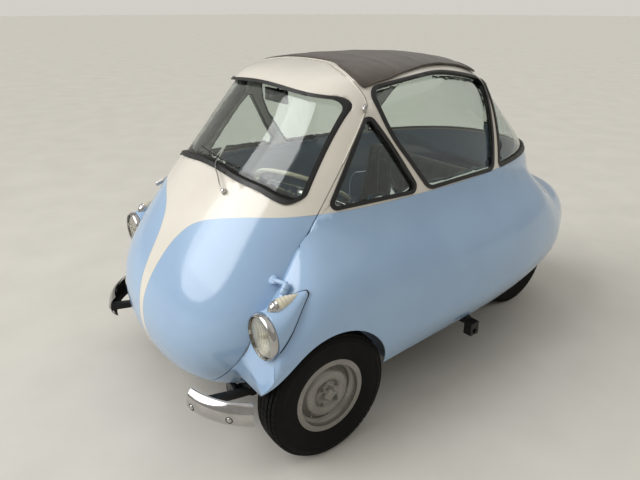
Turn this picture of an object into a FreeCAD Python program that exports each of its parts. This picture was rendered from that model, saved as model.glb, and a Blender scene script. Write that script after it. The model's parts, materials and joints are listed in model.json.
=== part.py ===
import FreeCAD, Part
import math
import os

Vector = FreeCAD.Vector
Placement = FreeCAD.Placement
Rotation = FreeCAD.Rotation
FAR = 2500

# Bubble car with one front door. Front is -Y, the car's left is +X, up is +Z,
# and the origin lies on the ground below the middle of the whole car.
doc = FreeCAD.newDocument("bubble_car")

# Driving dimensions, in mm
SIZES = [
    ("front_axle_y", -700), ("wheelbase", 1500), ("front_track", 1200), ("rear_track", 520),
    ("tyre_radius", 249), ("tyre_width", 122), ("rim_radius", 143), ("bead_radius", 127),
    ("rim_wall", 4), ("hub_bore", 12), ("drum_radius", 92), ("drum_depth", 18),
    ("body_base", 250), ("cab_wall", 26), ("wing_wall", 7), ("door_gap", 6), ("belt_height", 872),
    ("glass_wall", 5), ("glass_depth", 9), ("seal_lip", 4), ("seal_cover", 6), ("seal_width", 16),
    ("glass_hold", 5), ("window_tilt", 23), ("window_start", 560), ("roof_cloth", 6), ("roof_overlap", 30),
    ("cloth_clearance", 1),
    ("arch_radius", 285), ("liner_wall", 5), ("liner_inner_x", 402),
    ("arch_floor_z", 285), ("lip_radius", 262), ("lip_forward", 4), ("lip_rise", 9),
    ("wing_front_y", -958), ("tail_end_y", 1127), ("wing_lean", 0.23),
    ("rear_room_radius", 285), ("rear_room_half", 338), ("rear_room_low", 320),
    ("rail_radius", 30), ("rail_spacing", 300), ("rail_front_y", -900), ("rail_rear_y", 640),
    ("rail_height", 226), ("jack_x", 560), ("jack_length", 40), ("jack_y", 140),
    ("jack_socket_radius", 12), ("jack_width", 50), ("jack_low_z", 170), ("jack_height", 60),
    ("cross_radius", 22), ("pad_width", 30), ("floor_wall", 4),
    ("kingpin_x", 555), ("kingpin_radius", 10), ("pin_clearance", 0.05), ("kingpin_reach", 58),
    ("fork_plate", 14), ("fork_width", 32), ("fork_reach", 62), ("beam_radius", 28), ("boss_radius", 18),
    ("backing_wall", 4), ("backing_gap", 2), ("steer_arm_reach", 130), ("steer_arm_x", 522),
    ("steer_arm_thick", 12), ("track_rod_radius", 9), ("track_rod_z", 175), ("rod_eye_radius", 13),
    ("rod_pin_radius", 7), ("rod_play", 4.5),
    ("rear_shaft_radius", 20), ("shaft_clearance", 0.05), ("bearing_wall", 12), ("spring_width", 44),
    ("spring_thick", 7), ("spring_leaves", 3), ("chain_wall", 20), ("chain_width", 50),
    ("hinge_low_x", 556), ("hinge_low_y", -822), ("hinge_low_z", 673),
    ("hinge_top_x", 430), ("hinge_top_y", -391), ("hinge_top_z", 1203),
    ("lamp_x", 586), ("lamp_y", -916), ("lamp_z", 545), ("lamp_radius", 80), ("pod_length", 148),
    ("lamp_rim", 8), ("lamp_rim_depth", 26), ("lens_bulge", 14), ("indicator_radius", 20),
    ("bumper_height", 95), ("bumper_wall", 4), ("bumper_depth", 26), ("bumper_z", 272),
    ("bumper_radius", 320), ("bumper_centre_x", 360), ("bumper_centre_y", -826),
    ("bumper_first_angle", -81), ("bumper_angle", 48),
    ("iron_x", 430), ("iron_width", 26), ("iron_thick", 20), ("iron_pad", 8),
    ("guard_x", 240), ("guard_z", 262), ("guard_height", 76), ("guard_width", 150),
    ("horn_radius", 34), ("horn_depth", 52), ("horn_x", 372), ("horn_y", -956), ("horn_z", 214),
    ("seat_width", 1000), ("seat_depth", 430), ("seat_front_y", -110), ("seat_z", 420),
    ("seat_thick", 100), ("back_height", 330), ("back_thick", 90), ("seat_clearance", 0.3),
    ("seat_base_half", 405), ("shelf_z", 640), ("shelf_wall", 6), ("engine_front_y", 345),
    ("engine_length", 158), ("engine_width", 400), ("engine_height", 158), ("engine_right_x", -340),
    ("silencer_radius", 50), ("silencer_y", 445), ("silencer_x", -340), ("silencer_length", 150),
    ("wheel_centre_x", 170), ("wheel_centre_y", -470), ("wheel_centre_z", 850),
    ("steering_radius", 200), ("steering_rim", 9), ("column_radius", 15), ("column_foot_x", 300),
    ("column_foot_y", -800), ("column_foot_z", 330),
    ("strut_share", 0.36), ("strut_radius", 10), ("strut_rise", 0.1), ("dash_z", 820), ("dash_height", 110),
    ("dash_rear_y", -690), ("dash_width", 620),
    ("lid_front_y", 395), ("lid_rear_y", 690), ("lid_low_z", 335), ("lid_top_z", 600), ("lid_gap", 5),
    ("lid_reach", 420),
    ("lid_hinge_radius", 5),
]
sheet = doc.addObject("Spreadsheet::Sheet", "sizes")
for row, (alias, number) in enumerate(SIZES, start=1):
    sheet.set("A%d" % row, alias)
    sheet.set("B%d" % row, str(number))
    sheet.setAlias("B%d" % row, alias)
doc.recompute()


def size(alias):
    return float(sheet.get(alias))


# Rings of the egg-shaped body. Columns: height, half width, nose y, tail y, y of the widest place,
# share of the way up the skin
BODY_RINGS = [
    (250, 484, -1083, 930, -418, 0),
    (400, 556, -1128, 955, -411, 0.10),
    (560, 587, -1101, 965, -392, 0.20),
    (720, 561, -1002, 956, -344, 0.30),
    (900, 516, -859, 896, -317, 0.42),
    (1060, 474, -718, 736, -298, 0.54),
    (1200, 422, -602, 582, -269, 0.66),
    (1295, 344, -502, 386, -220, 0.78),
    (1340, 0, -54, -54, -54, 1),
]
NOSE_FULLNESS = 1.36
TAIL_FULLNESS = 0.97

# Stations of the wing and sill. Columns: y, bottom half width, bottom z, largest half width, its z,
# how far inside the egg the top edge lies (from BUSTLE_Y back: the top edge's own half width),
# top z, share of the shoulder that stays upright at the top
BUSTLE_Y = 900
WING_STATIONS = [
    (-958, 604, 336, 662, 462, 6, 492, 0.0),
    (-900, 632, 315, 682, 466, 6, 565, 0.0),
    (-850, 648, 300, 688, 462, 4, 622, 0.05),
    (-770, 658, 290, 690, 455, 0, 728, 0.12),
    (-680, 657, 285, 689, 446, -3, 835, 0.28),
    (-560, 650, 282, 684, 436, -3, 880, 0.38),
    (-400, 636, 281, 675, 430, -3, 880, 0.40),
    (-100, 606, 280, 666, 430, -3, 880, 0.40),
    (200, 577, 280, 650, 436, -3, 880, 0.40),
    (420, 543, 280, 623, 445, -3, 880, 0.40),
    (600, 504, 283, 585, 450, 14, 868, 0.34),
    (740, 466, 288, 546, 453, 30, 808, 0.25),
    (850, 428, 295, 503, 455, 50, 745, 0.16),
    (950, 383, 305, 448, 456, 250, 688, 0.07),
    (1030, 348, 314, 402, 458, 234, 650, 0.02),
    (1085, 322, 322, 362, 460, 222, 618, 0.0),
    (1115, 300, 335, 334, 462, 206, 596, 0.0),
    (1127, 268, 362, 300, 465, 186, 565, 0.0),
]


def splined(points, params, flat_end=False):
    tangents = [Vector(0, 0, 0)] * len(points)
    flags = [False] * len(points)
    curve = Part.BSplineCurve()
    if flat_end:
        run = points[-1] - points[-2]
        tangents[-1] = Vector(run.x, run.y, 0) * (1.0 / (params[-1] - params[-2]))
        flags[-1] = True
        curve.interpolate(Points=points, Parameters=params, Tangents=tangents, TangentFlags=flags,
                          Scale=False)
    else:
        curve.interpolate(Points=points, Parameters=params)
    return curve


def chord_params(points):
    total = [0.0]
    for a, b in zip(points, points[1:]):
        total.append(total[-1] + (b - a).Length)
    return [t / total[-1] for t in total]


def patch(columns, weights, params, flat_end=False):
    """One face from a few columns of points; across, each row is one arc of a conic or cubic."""
    curves = [splined(points, params, flat_end) for points in columns]
    degree = len(columns) - 1
    poles = [curve.getPoles() for curve in curves]
    weight_rows = [[w] * len(poles[0]) for w in weights]
    surface = Part.BSplineSurface()
    surface.buildFromPolesMultsKnots(
        poles, [degree + 1, degree + 1], curves[0].getMultiplicities(), [0.0, 1.0],
        curves[0].getKnots(), False, False, degree, curves[0].Degree, weight_rows)
    return surface


def closed_solid(faces):
    shell = Part.Compound(faces)
    shell.sewShape()
    solid = Part.Solid(shell.Shells[0] if shell.ShapeType != "Shell" else shell)
    if solid.Volume < 0:
        solid.reverse()
    return solid


def body_rings(wall, base):
    top_z = BODY_RINGS[-1][0]
    wide_z = BODY_RINGS[2][0]
    squeeze = (top_z - wall - wide_z) / (top_z - wide_z)
    rows = []
    for index, (z, half, nose, tail, wide, share) in enumerate(BODY_RINGS):
        if index == 0:
            z = base
        if z > wide_z:
            z = wide_z + (z - wide_z) * squeeze
        if half > 0:
            rows.append((z, half - wall, nose + wall, tail - wall, wide))
        else:
            rows.append((z, 0, nose, tail, wide))
    return rows


skins = {}


def body_skin(wall, base=None):
    """The egg-shaped solid, its surface lying this far inside the body's outer skin."""
    base = size("body_base") if base is None else base
    key = (wall, base)
    if key in skins:
        return skins[key]
    rows = body_rings(wall, base)
    params = [ring[5] for ring in BODY_RINGS]
    faces = []
    for side in (1, -1):
        nose_col = [Vector(0, nose, z) for z, half, nose, tail, wide in rows]
        front_col = [Vector(side * half, nose, z) for z, half, nose, tail, wide in rows]
        wide_col = [Vector(side * half, wide, z) for z, half, nose, tail, wide in rows]
        rear_col = [Vector(side * half, tail, z) for z, half, nose, tail, wide in rows]
        tail_col = [Vector(0, tail, z) for z, half, nose, tail, wide in rows]
        for columns, fullness in (((nose_col, front_col, wide_col), NOSE_FULLNESS),
                                  ((wide_col, rear_col, tail_col), TAIL_FULLNESS)):
            faces.append(patch(columns, (1, fullness, 1), params, True).toShape())
    rims = []
    for face in faces:
        low = [e for e in face.Edges if e.BoundBox.ZMax < rows[0][0] + 0.01]
        rims.append(low[0])
    faces.append(Part.Face(Part.Wire(Part.__sortEdges__(rims))))
    skins[key] = closed_solid(faces)
    return skins[key]


widths = {}


def egg_half(y, z):
    """Half width of the egg at this place."""
    if (y, z) not in widths:
        edges = body_skin(0).common(Part.makeLine(Vector(0, y, z), Vector(FAR, y, z))).Edges
        widths[(y, z)] = max(v.X for edge in edges for v in edge.Vertexes)
    return widths[(y, z)]


def wing_skin(wall, side, inner_x):
    """The solid of one wing, sill and half of the tail, out from the plane x = inner_x."""
    rows = []
    for y, low_x, low_z, wide_x, wide_z, tuck, top_z, upright in WING_STATIONS:
        top_x = tuck if y > BUSTLE_Y else egg_half(y, top_z) - tuck
        if y == WING_STATIONS[0][0]:
            y = size("wing_front_y") + wall
        if y == WING_STATIONS[-1][0]:
            y = size("tail_end_y") - wall
        low = (low_x - wall, low_z - (wall if wall > 0 else 0))
        belly = (wide_x - wall, low_z + 0.55 * (wide_z - low_z))
        wide = (wide_x - wall, wide_z)
        top_z -= 4 * wall
        rise = top_z - wide_z
        shoulder = (wide_x - wall, wide_z + 0.62 * rise)
        lead = (top_x - wall + (wide_x - top_x) * (0.55 - 0.65 * upright), top_z - upright * rise)
        crest = (top_x - wall, top_z)
        rows.append((y, (low, belly, wide, shoulder, lead, crest)))
    params = chord_params([Vector(r[1][2][0], r[0], 0) for r in rows])
    columns = [[Vector(side * r[1][k][0], r[0], r[1][k][1]) for r in rows] for k in range(6)]
    inner_low = [Vector(side * inner_x, r[0], r[1][0][1]) for r in rows]
    inner_top = [Vector(side * inner_x, r[0], r[1][5][1]) for r in rows]
    surfaces = [
        patch(columns[0:3], (1, 1, 1), params),
        patch(columns[2:6], (1, 1, 1, 1), params),
        patch((columns[5], inner_top), (1, 1), params),
        patch((inner_top, inner_low), (1, 1), params),
        patch((inner_low, columns[0]), (1, 1), params),
    ]
    faces = [surface.toShape() for surface in surfaces]
    for y in (rows[0][0], rows[-1][0]):
        edges = []
        for face in faces:
            edges += [e for e in face.Edges if max(abs(e.BoundBox.YMax - y), abs(e.BoundBox.YMin - y)) < 0.01]
        faces.append(Part.Face(Part.Wire(Part.__sortEdges__(edges))))
    solid = closed_solid(faces)
    # The flat front leans back as it rises
    y = size("wing_front_y") + wall
    z = WING_STATIONS[0][2]
    lean = size("wing_lean")
    face = Part.Face(Part.makePolygon([Vector(-FAR, a, b) for a, b in (
        (y - lean * 200, z - 200), (y + lean * 600, z + 600), (y - 200, z + 600), (y - 200, z - 200),
        (y - lean * 200, z - 200))]))
    return solid.cut(face.extrude(Vector(2 * FAR, 0, 0)))


X_AXIS = Rotation(Vector(0, 1, 0), 90)
Y_AXIS = Rotation(Vector(1, 0, 0), -90)
Z_AXIS = Rotation()
nodes = []


def node(obj):
    """Keep this object as one named sub-part."""
    obj.Label = obj.Name
    nodes.append(obj)
    return obj


def feature(name, shape):
    obj = doc.addObject("Part::Feature", name)
    obj.Shape = shape
    return obj


def place(obj, at, turn=Z_AXIS):
    obj.Placement = Placement(Vector(), turn)
    for axis, text in zip("xyz", at):
        obj.setExpression("Placement.Base." + axis, text)
    return obj


def box(name, x, y, z):
    """A box from (start, length) pairs of expressions."""
    obj = doc.addObject("Part::Box", name)
    for prop, pair in zip(("Length", "Width", "Height"), (x, y, z)):
        obj.setExpression(prop, pair[1])
    return place(obj, (x[0], y[0], z[0]))


def rod(name, radius, length, at, turn=Z_AXIS):
    obj = doc.addObject("Part::Cylinder", name)
    obj.setExpression("Radius", radius)
    obj.setExpression("Height", length)
    return place(obj, at, turn)


def fuse(name, parts):
    obj = doc.addObject("Part::MultiFuse", name)
    obj.Shapes = parts
    obj.Refine = True
    return obj


def cut(name, base, tools):
    tool = tools[0] if len(tools) == 1 else fuse(name + "_tools", tools)
    obj = doc.addObject("Part::Cut", name)
    obj.Base = base
    obj.Tool = tool
    return obj


def signed(side, text):
    return text if side > 0 else "-(" + text + ")"


def start(side, low, high):
    """Start of a stretch from low to high on the left, or its mirror image on the right."""
    return low if side > 0 else "-(" + high + ")"


def outline(corners, plane):
    """A face with rounded corners. Corners are (a, b, radius), and plane maps (a, b) to a point."""
    count = len(corners)
    edges = []
    ends = []
    for i, (a, b, radius) in enumerate(corners):
        here = Vector(a, b, 0)
        back = (Vector(*corners[i - 1][:2], 0) - here).normalize()
        ahead = (Vector(*corners[(i + 1) % count][:2], 0) - here).normalize()
        if radius <= 0:
            ends.append((here, None, here))
            continue
        half = back.getAngle(ahead) / 2
        reach = radius / math.tan(half)
        centre = here + (back + ahead).normalize() * (radius / math.sin(half))
        middle = centre + (here - centre).normalize() * radius
        ends.append((here + back * reach, middle, here + ahead * reach))
    for i, (first, middle, last) in enumerate(ends):
        if middle is not None:
            edges.append(Part.Arc(*[plane(v.x, v.y) for v in (first, middle, last)]).toShape())
        following = ends[(i + 1) % count][0]
        if (following - last).Length > 0.01:
            edges.append(Part.LineSegment(plane(last.x, last.y), plane(following.x, following.y)).toShape())
    return Part.Face(Part.Wire(edges))


def inset(corners, amount, shares=None):
    """The same outline drawn this far further in, its corners keeping their centres.

    Shares, one for each edge from its first corner on, scale the amount."""
    count = len(corners)
    shares = shares or [1] * count
    area = sum(corners[i - 1][0] * corners[i][1] - corners[i][0] * corners[i - 1][1] for i in range(count))
    turn = 1 if area > 0 else -1
    result = []
    for i, (a, b, radius) in enumerate(corners):
        here = Vector(a, b, 0)
        back = (here - Vector(*corners[i - 1][:2], 0)).normalize()
        ahead = (Vector(*corners[(i + 1) % count][:2], 0) - here).normalize()
        normal_back = Vector(-back.y, back.x, 0) * turn
        normal_ahead = Vector(-ahead.y, ahead.x, 0) * turn
        before = amount * shares[i - 1]
        after = amount * shares[i]
        along = normal_back.dot(normal_ahead)
        if before == after:
            shift = (normal_back + normal_ahead) * (before / (1 + along))
        else:
            shift = normal_back * (before - after * along) + normal_ahead * (after - before * along)
            shift = shift * (1 / (1 - along ** 2))
        convex = (back.x * ahead.y - back.y * ahead.x) * turn > 0
        mean = (before + after) / 2
        sharper = radius - mean if convex else radius + mean
        result.append((a + shift.x, b + shift.y, max(sharper, 2) if radius > 0 else 0))
    return result


def side_prism(corners, low_x=-FAR, high_x=FAR):
    face = outline(corners, lambda y, z: Vector(low_x, y, z))
    return face.extrude(Vector(high_x - low_x, 0, 0))


def front_prism(corners, low_y, high_y):
    face = outline(corners, lambda x, z: Vector(x, low_y, z))
    return face.extrude(Vector(0, high_y - low_y, 0))


def leaning_prism(corners, side):
    """The outline carried outwards and up, square to the side glass."""
    lean = math.radians(size("window_tilt"))
    out = Vector(side * math.cos(lean), 0, math.sin(lean))
    up = Vector(-side * math.sin(lean), 0, math.cos(lean))
    face = outline(corners, lambda y, w: out * size("window_start") + up * w + Vector(0, y, 0))
    return face.extrude(out * FAR)


def top_prism(corners, low_z, high_z):
    face = outline(corners, lambda x, y: Vector(x, y, low_z))
    return face.extrude(Vector(0, 0, high_z - low_z))


def mirrored_corners(half):
    """A full outline from its right half, whose first and last corners may lie on the middle."""
    left = [(-a, b, r) for a, b, r in reversed(half) if a > 0]
    return half + left


# The door's seam in side view, from the roof down. Columns: y, z, corner radius
SEAM = [(-240, 1352, 0), (-393, 1312, 40), (-362, 1210, 60), (-890, 565, 120), (-1040, 160, 0)]
# Side window outlines at the outer edge of their rubber, square to the leaning glass. Columns: y,
# way up the glass, corner radius
QUARTER_WINDOW = [(-610, 612, 26), (-174, 602, 30), (-379, 936, 34)]
SIDE_WINDOW = [(-135, 602, 60), (310, 616, 45), (418, 1032, 48), (60, 1064, 700), (-352, 1012, 46),
               (-300, 828, 400)]
# The rear window in side view, as y, z, corner radius
REAR_WINDOW = [(350, 873, 24), (1200, 873, 0), (1200, 1212, 0), (432, 1212, 50)]
# The same for the windscreen in front view, as x, z, corner radius
WINDSCREEN = mirrored_corners([
    (0, 978, 1500), (320, 944, 250), (455, 896, 26), (396, 1237, 60), (0, 1275, 2000),
])
WINDSCREEN_REAR = -400
# How wide a strip of its rubber looks from the front, for the edge from each corner to the next
WINDSCREEN_SHARES = (0.8, 0.8, 0.42, 0.62, 0.62, 0.42, 0.8, 0.8)
# The cloth of the roof seen from above, as x, y, corner radius
ROOF_CLOTH = mirrored_corners([(410, -600, 0), (375, -230, 0), (300, 60, 1500), (240, 430, 60)])


def windscreen_prism(amount):
    return front_prism(inset(WINDSCREEN, amount, WINDSCREEN_SHARES), -FAR, WINDSCREEN_REAR)


def seam_side(shift, front):
    """Everything in front of, or behind, the door's seam moved back by shift."""
    line = [(y + shift, z, radius) for y, z, radius in SEAM]
    edge = -FAR if front else FAR
    corners = line + [(edge, line[-1][1], 0), (edge, FAR, 0), (line[0][0], FAR, 0)]
    return side_prism(corners)


def arch_rod(radius, inner_x, side, forward=0, rise=0):
    at = Vector(side * inner_x, size("front_axle_y") - forward, size("tyre_radius") + rise)
    return Part.makeCylinder(radius, 400, at, Vector(side, 0, 0))


def arch_floor(side):
    """The low part of the wheel's room, where it cuts the egg's bottom edge away."""
    half = size("kingpin_x")
    low = Part.makeBox(2 * half, 2 * FAR, FAR + size("arch_floor_z"), Vector(-half, -FAR, -FAR))
    return arch_rod(size("arch_radius"), size("liner_inner_x") + size("liner_wall"), side).common(low)


def rear_room(grow):
    """The space that the rear wheels turn in, grown by this much."""
    half = size("rear_room_half") + grow
    at = Vector(-half, size("front_axle_y") + size("wheelbase"), size("tyre_radius"))
    return Part.makeCylinder(size("rear_room_radius") + grow, 2 * half, at, Vector(1, 0, 0))


def floor_level():
    """Everything below the lower edge of the rear wheel housing."""
    return Part.makeBox(2 * FAR, 2 * FAR, FAR + size("rear_room_low"), Vector(-FAR, -FAR, -FAR))


def body_shapes():
    """The lower body in one piece, and the cab frame above the belt."""
    wall = size("cab_wall")
    thin = size("wing_wall")
    gap = size("door_gap")
    belt = size("belt_height")
    deep = size("body_base") - 10
    wings = [wing_skin(0, side, -10) for side in (1, -1)]
    hollows = [wing_skin(thin, side, -20) for side in (1, -1)]
    below = Part.makeBox(FAR * 2, FAR * 2, belt, Vector(-FAR, -FAR, 0))
    door_zone = body_skin(-gap).common(seam_side(gap, True))
    lower = body_skin(0).fuse(wings).common(below)
    liner = (size("arch_radius") + size("liner_wall"), size("liner_inner_x"))
    room = (size("arch_radius"), size("liner_inner_x") + size("liner_wall"))
    liners = [arch_rod(*liner, side) for side in (1, -1)]
    wheel_rooms = [arch_rod(*room, side) for side in (1, -1)]
    cabin = body_skin(wall, deep).cut(liners)
    spaces = [hollow.cut(solid) for hollow, solid in zip(hollows, liners)]
    rooms = [hollow.common(solid) for hollow, solid in zip(hollows, wheel_rooms)]
    lower = lower.cut(cabin)
    for space in spaces + rooms + [arch_floor(s) for s in (1, -1)]:
        lower = lower.cut(space)
    lower = lower.cut(rear_room(0)).fuse(rear_room(size("liner_wall")).cut(rear_room(0)).cut(floor_level()))
    lip = (size("lip_radius"), size("kingpin_x"))
    lips = [arch_rod(*lip, side, size("lip_forward"), size("lip_rise")) for side in (1, -1)]
    lower = lower.cut(lips + [door_zone])
    upper = body_skin(0).cut([below, body_skin(wall, deep), seam_side(gap, True)])
    cover = size("seal_cover")
    holes = [side_prism(inset(REAR_WINDOW, cover))]
    for corners in (QUARTER_WINDOW, SIDE_WINDOW):
        holes += [leaning_prism(inset(corners, cover), side) for side in (1, -1)]
    upper = upper.cut(holes)
    hatch = top_prism(inset(ROOF_CLOTH, size("roof_overlap")), belt + 300, FAR)
    hatch = hatch.common(seam_side(gap + 8 + size("roof_overlap"), False))
    upper = upper.cut(hatch)
    return lower, upper


def biggest(shape, least=500):
    """The shape without boolean crumbs, each solid at least this many cubic mm."""
    return Part.Compound([solid for solid in shape.Solids if solid.Volume > least])


def build_body():
    lower, upper = body_shapes()
    lid_side = -1
    front = size("lid_front_y")
    rear = size("lid_rear_y")
    low = size("lid_low_z")
    top = size("lid_top_z")
    corners = [(front, low, 12), (rear, low, 12), (rear, top, 45), (front, top, 45)]
    reach = lid_side * size("lid_reach")
    lid_hole = side_prism(corners, lid_side * FAR, reach)
    lid = side_prism(inset(corners, size("lid_gap")), lid_side * FAR, reach)
    lid_skin = lower.common(lid)
    lower = biggest(lower.cut(lid_hole))
    moving, fixed = lid_hinge(lid_skin)
    node(feature("body_lower", lower.fuse([part.cut(lid_skin) for part in fixed])))
    node(feature("cab_upper", biggest(upper)))
    node(feature("engine_lid", biggest(lid_skin).fuse(moving)))


def lid_hinge(lid_skin):
    """Two hinges along the lid's lower edge: knuckles with pins on the lid, pierced knuckles on the body."""
    front = size("lid_front_y")
    rear = size("lid_rear_y")
    low = size("lid_low_z") + size("lid_gap")
    ends = []
    for y in (front + 60, rear - 60):
        edges = lid_skin.common(Part.makeLine(Vector(-FAR, y, low + 3), Vector(0, y, low + 3))).Edges
        ends.append(Vector(min(v.X for edge in edges for v in edge.Vertexes), y, low + 3))
    run = (ends[1] - ends[0]).normalize()
    off = Vector(-abs(run.y), run.x, 0) * 7
    radius = size("lid_hinge_radius")
    pin = radius * 0.45
    moving = []
    fixed = []
    for end in ends:
        centre = end + off
        half = 11
        moving.append(Part.makeCylinder(radius, 2 * half, centre - run * half, run))
        moving.append(Part.makeCylinder(pin, 6 * half, centre - run * (3 * half), run))
        for shift in (-3 * half, half + 0.3):
            barrel = Part.makeCylinder(radius, 2 * half - 0.3, centre + run * shift, run)
            leaf = Part.makeBox(2 * half - 0.3, 17, 12)
            leaf.Placement = Placement(centre + run * shift - Vector(0, 0, 3.5),
                                       Rotation(run, off * -1, Vector(0, 0, -1), "XYZ"))
            hole = Part.makeCylinder(pin + size("pin_clearance"), 8 * half, centre - run * (4 * half), run)
            fixed.append(barrel.fuse(leaf).cut(hole))
    return moving, fixed


def build_roof_cloth():
    behind = seam_side(size("door_gap") + 8, False)
    above = top_prism(ROOF_CLOTH, size("belt_height") + 300, FAR)
    sheet_shape = body_skin(-size("roof_cloth")).common(above).common(behind).cut(body_skin(0))
    clear = inset(SIDE_WINDOW, -size("cloth_clearance"))
    sheet_shape = sheet_shape.cut([leaning_prism(clear, side) for side in (1, -1)])
    node(feature("roof_cloth", biggest(sheet_shape)))


def glazing(windows):
    """Panes and rubber seals. Each window is a function from an inset to the prism of its outline."""
    lip = -size("seal_lip")
    depth = size("glass_depth")
    wall = size("glass_wall")
    cover = size("seal_cover")
    hold = size("seal_width") - size("glass_hold")
    pane_skin = body_skin(depth).cut(body_skin(depth + wall))
    seal_skin = body_skin(lip).cut(body_skin(depth + wall + depth))
    frame_skin = body_skin(0)
    panes = []
    seals = []
    for window in windows:
        pane = pane_skin.common(window(hold))
        ring = window(0).cut(window(size("seal_width")))
        channel = window(cover)
        seal = seal_skin.common(ring)
        seal = seal.cut(frame_skin.cut(channel)).cut(pane)
        panes += biggest(pane).Solids
        seals += biggest(seal).Solids
    return panes, seals


def build_cab_glass():
    windows = [lambda amount: side_prism(inset(REAR_WINDOW, amount))]
    for side in (1, -1):
        for corners in (QUARTER_WINDOW, SIDE_WINDOW):
            windows.append(lambda amount, c=corners, s=side: leaning_prism(inset(c, amount), s))
    panes, seals = glazing(windows)
    below = Part.makeBox(FAR * 2, FAR * 2, size("belt_height"), Vector(-FAR, -FAR, 0))
    front = seam_side(size("door_gap"), True)
    node(feature("cab_glass", Part.Compound(panes)))
    rings = Part.Compound([seal.cut([below, front]) for seal in seals])
    node(feature("cab_window_seals", biggest(rings)))


def build_door():
    wall = size("cab_wall")
    deep = size("body_base") - 10
    shell = body_skin(0).cut(body_skin(wall, deep)).common(seam_side(0, True))
    node(feature("door_shell", biggest(shell.cut(windscreen_prism(size("seal_cover"))))))
    panes, seals = glazing([windscreen_prism])
    node(feature("windscreen_glass", Part.Compound(panes)))
    node(feature("windscreen_seal", biggest(seals[0].common(seam_side(0, True)))))
    band = top_prism([(-size("dash_width") / 2, -FAR, 0), (size("dash_width") / 2, -FAR, 0),
                      (size("dash_width") / 2, size("dash_rear_y"), 30),
                      (-size("dash_width") / 2, size("dash_rear_y"), 30)],
                     size("dash_z"), size("dash_z") + size("dash_height"))
    dash = body_skin(wall + size("seat_clearance"), deep).common(band)
    column = column_bar(size("column_radius") + size("seat_clearance"), 0)
    node(feature("dashboard", biggest(dash.cut(column))))


def wheel_axis():
    top = Vector(size("wheel_centre_x"), size("wheel_centre_y"), size("wheel_centre_z"))
    foot = Vector(size("column_foot_x"), size("column_foot_y"), size("column_foot_z"))
    return top, foot, (foot - top).normalize()


def column_bar(radius, gap):
    top, foot, run = wheel_axis()
    return Part.makeCylinder(radius, (foot - top).Length - gap, top + run * gap, run)


def build_steering_wheel():
    top, foot, run = wheel_axis()
    turn = Rotation(Vector(0, 0, -1), run)
    rim = Part.makeTorus(size("steering_radius"), size("steering_rim"))
    hub = Part.makeCylinder(30, 30, Vector(0, 0, -40))
    spokes = []
    for angle in (90, 210, 330):
        reach = size("steering_radius")
        direction = Vector(math.cos(math.radians(angle)), math.sin(math.radians(angle)), 0)
        foot_point = direction * 20 + Vector(0, 0, -28)
        end_point = direction * reach
        run_out = end_point - foot_point
        spokes.append(Part.makeCylinder(6, run_out.Length, foot_point, run_out))
    wheel = rim.fuse([hub] + spokes)
    wheel.Placement = Placement(top, turn)
    node(feature("steering_wheel", wheel))
    # A strut holds the column to the inside of the door
    along = top + (foot - top) * size("strut_share")
    strut = Part.makeCylinder(size("strut_radius"), 600, along, Vector(0, -1, size("strut_rise")))
    inside = body_skin(size("cab_wall"), size("body_base") - 10)
    bar = column_bar(size("column_radius"), 40 + size("seat_clearance"))
    node(feature("steering_column", bar.fuse(strut.common(inside))))


def revolved(points, centre, axis, angle=360):
    """A ring from a profile of (radius, along) points, turned about an axis through centre."""
    side = Vector(0, 0, 1) if abs(axis.z) < 0.5 else Vector(1, 0, 0)
    corners = [centre + side * r + axis * a for r, a in points]
    face = Part.Face(Part.makePolygon(corners + [corners[0]]))
    return face.revolve(centre, axis, angle)


def tyre_shape(centre, side):
    """A cross-ply tyre: bead, round wall, rounded shoulder and crowned tread."""
    radius = size("tyre_radius")
    bead = size("bead_radius")
    half = size("tyre_width") / 2
    rim = 45
    up = Vector(0, 0, 1)
    out = Vector(side, 0, 0)

    def at(r, a):
        return centre + up * r + out * a

    tread = half - 16
    edges = []
    for sign in (1, -1):
        bead_low = at(bead, sign * rim)
        wall_low = at(bead + 22, sign * rim)
        wall_mid = at((radius + bead) / 2 + 12, sign * half)
        shoulder = at(radius - 14, sign * (half - 5))
        crown = at(radius - 4, sign * tread)
        edges.append((bead_low, wall_low, wall_mid, shoulder, crown))
    left, right = edges
    mid = at(radius, 0)
    path = [
        Part.LineSegment(left[0], left[1]),
        Part.Arc(left[1], left[2], left[3]),
        Part.LineSegment(left[3], left[4]),
        Part.Arc(left[4], mid, right[4]),
        Part.LineSegment(right[4], right[3]),
        Part.Arc(right[3], right[2], right[1]),
        Part.LineSegment(right[1], right[0]),
    ]
    inner = 9
    well = [right[0], at(bead, -rim + inner), at(radius - 24, -half + 26), at(radius - 14, 0),
            at(radius - 24, half - 26), at(bead, rim - inner), left[0]]
    shapes = [part.toShape() for part in path]
    shapes += [Part.LineSegment(a, b).toShape() for a, b in zip(well, well[1:])]
    return Part.Face(Part.Wire(shapes)).revolve(centre, out, 360)


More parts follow.
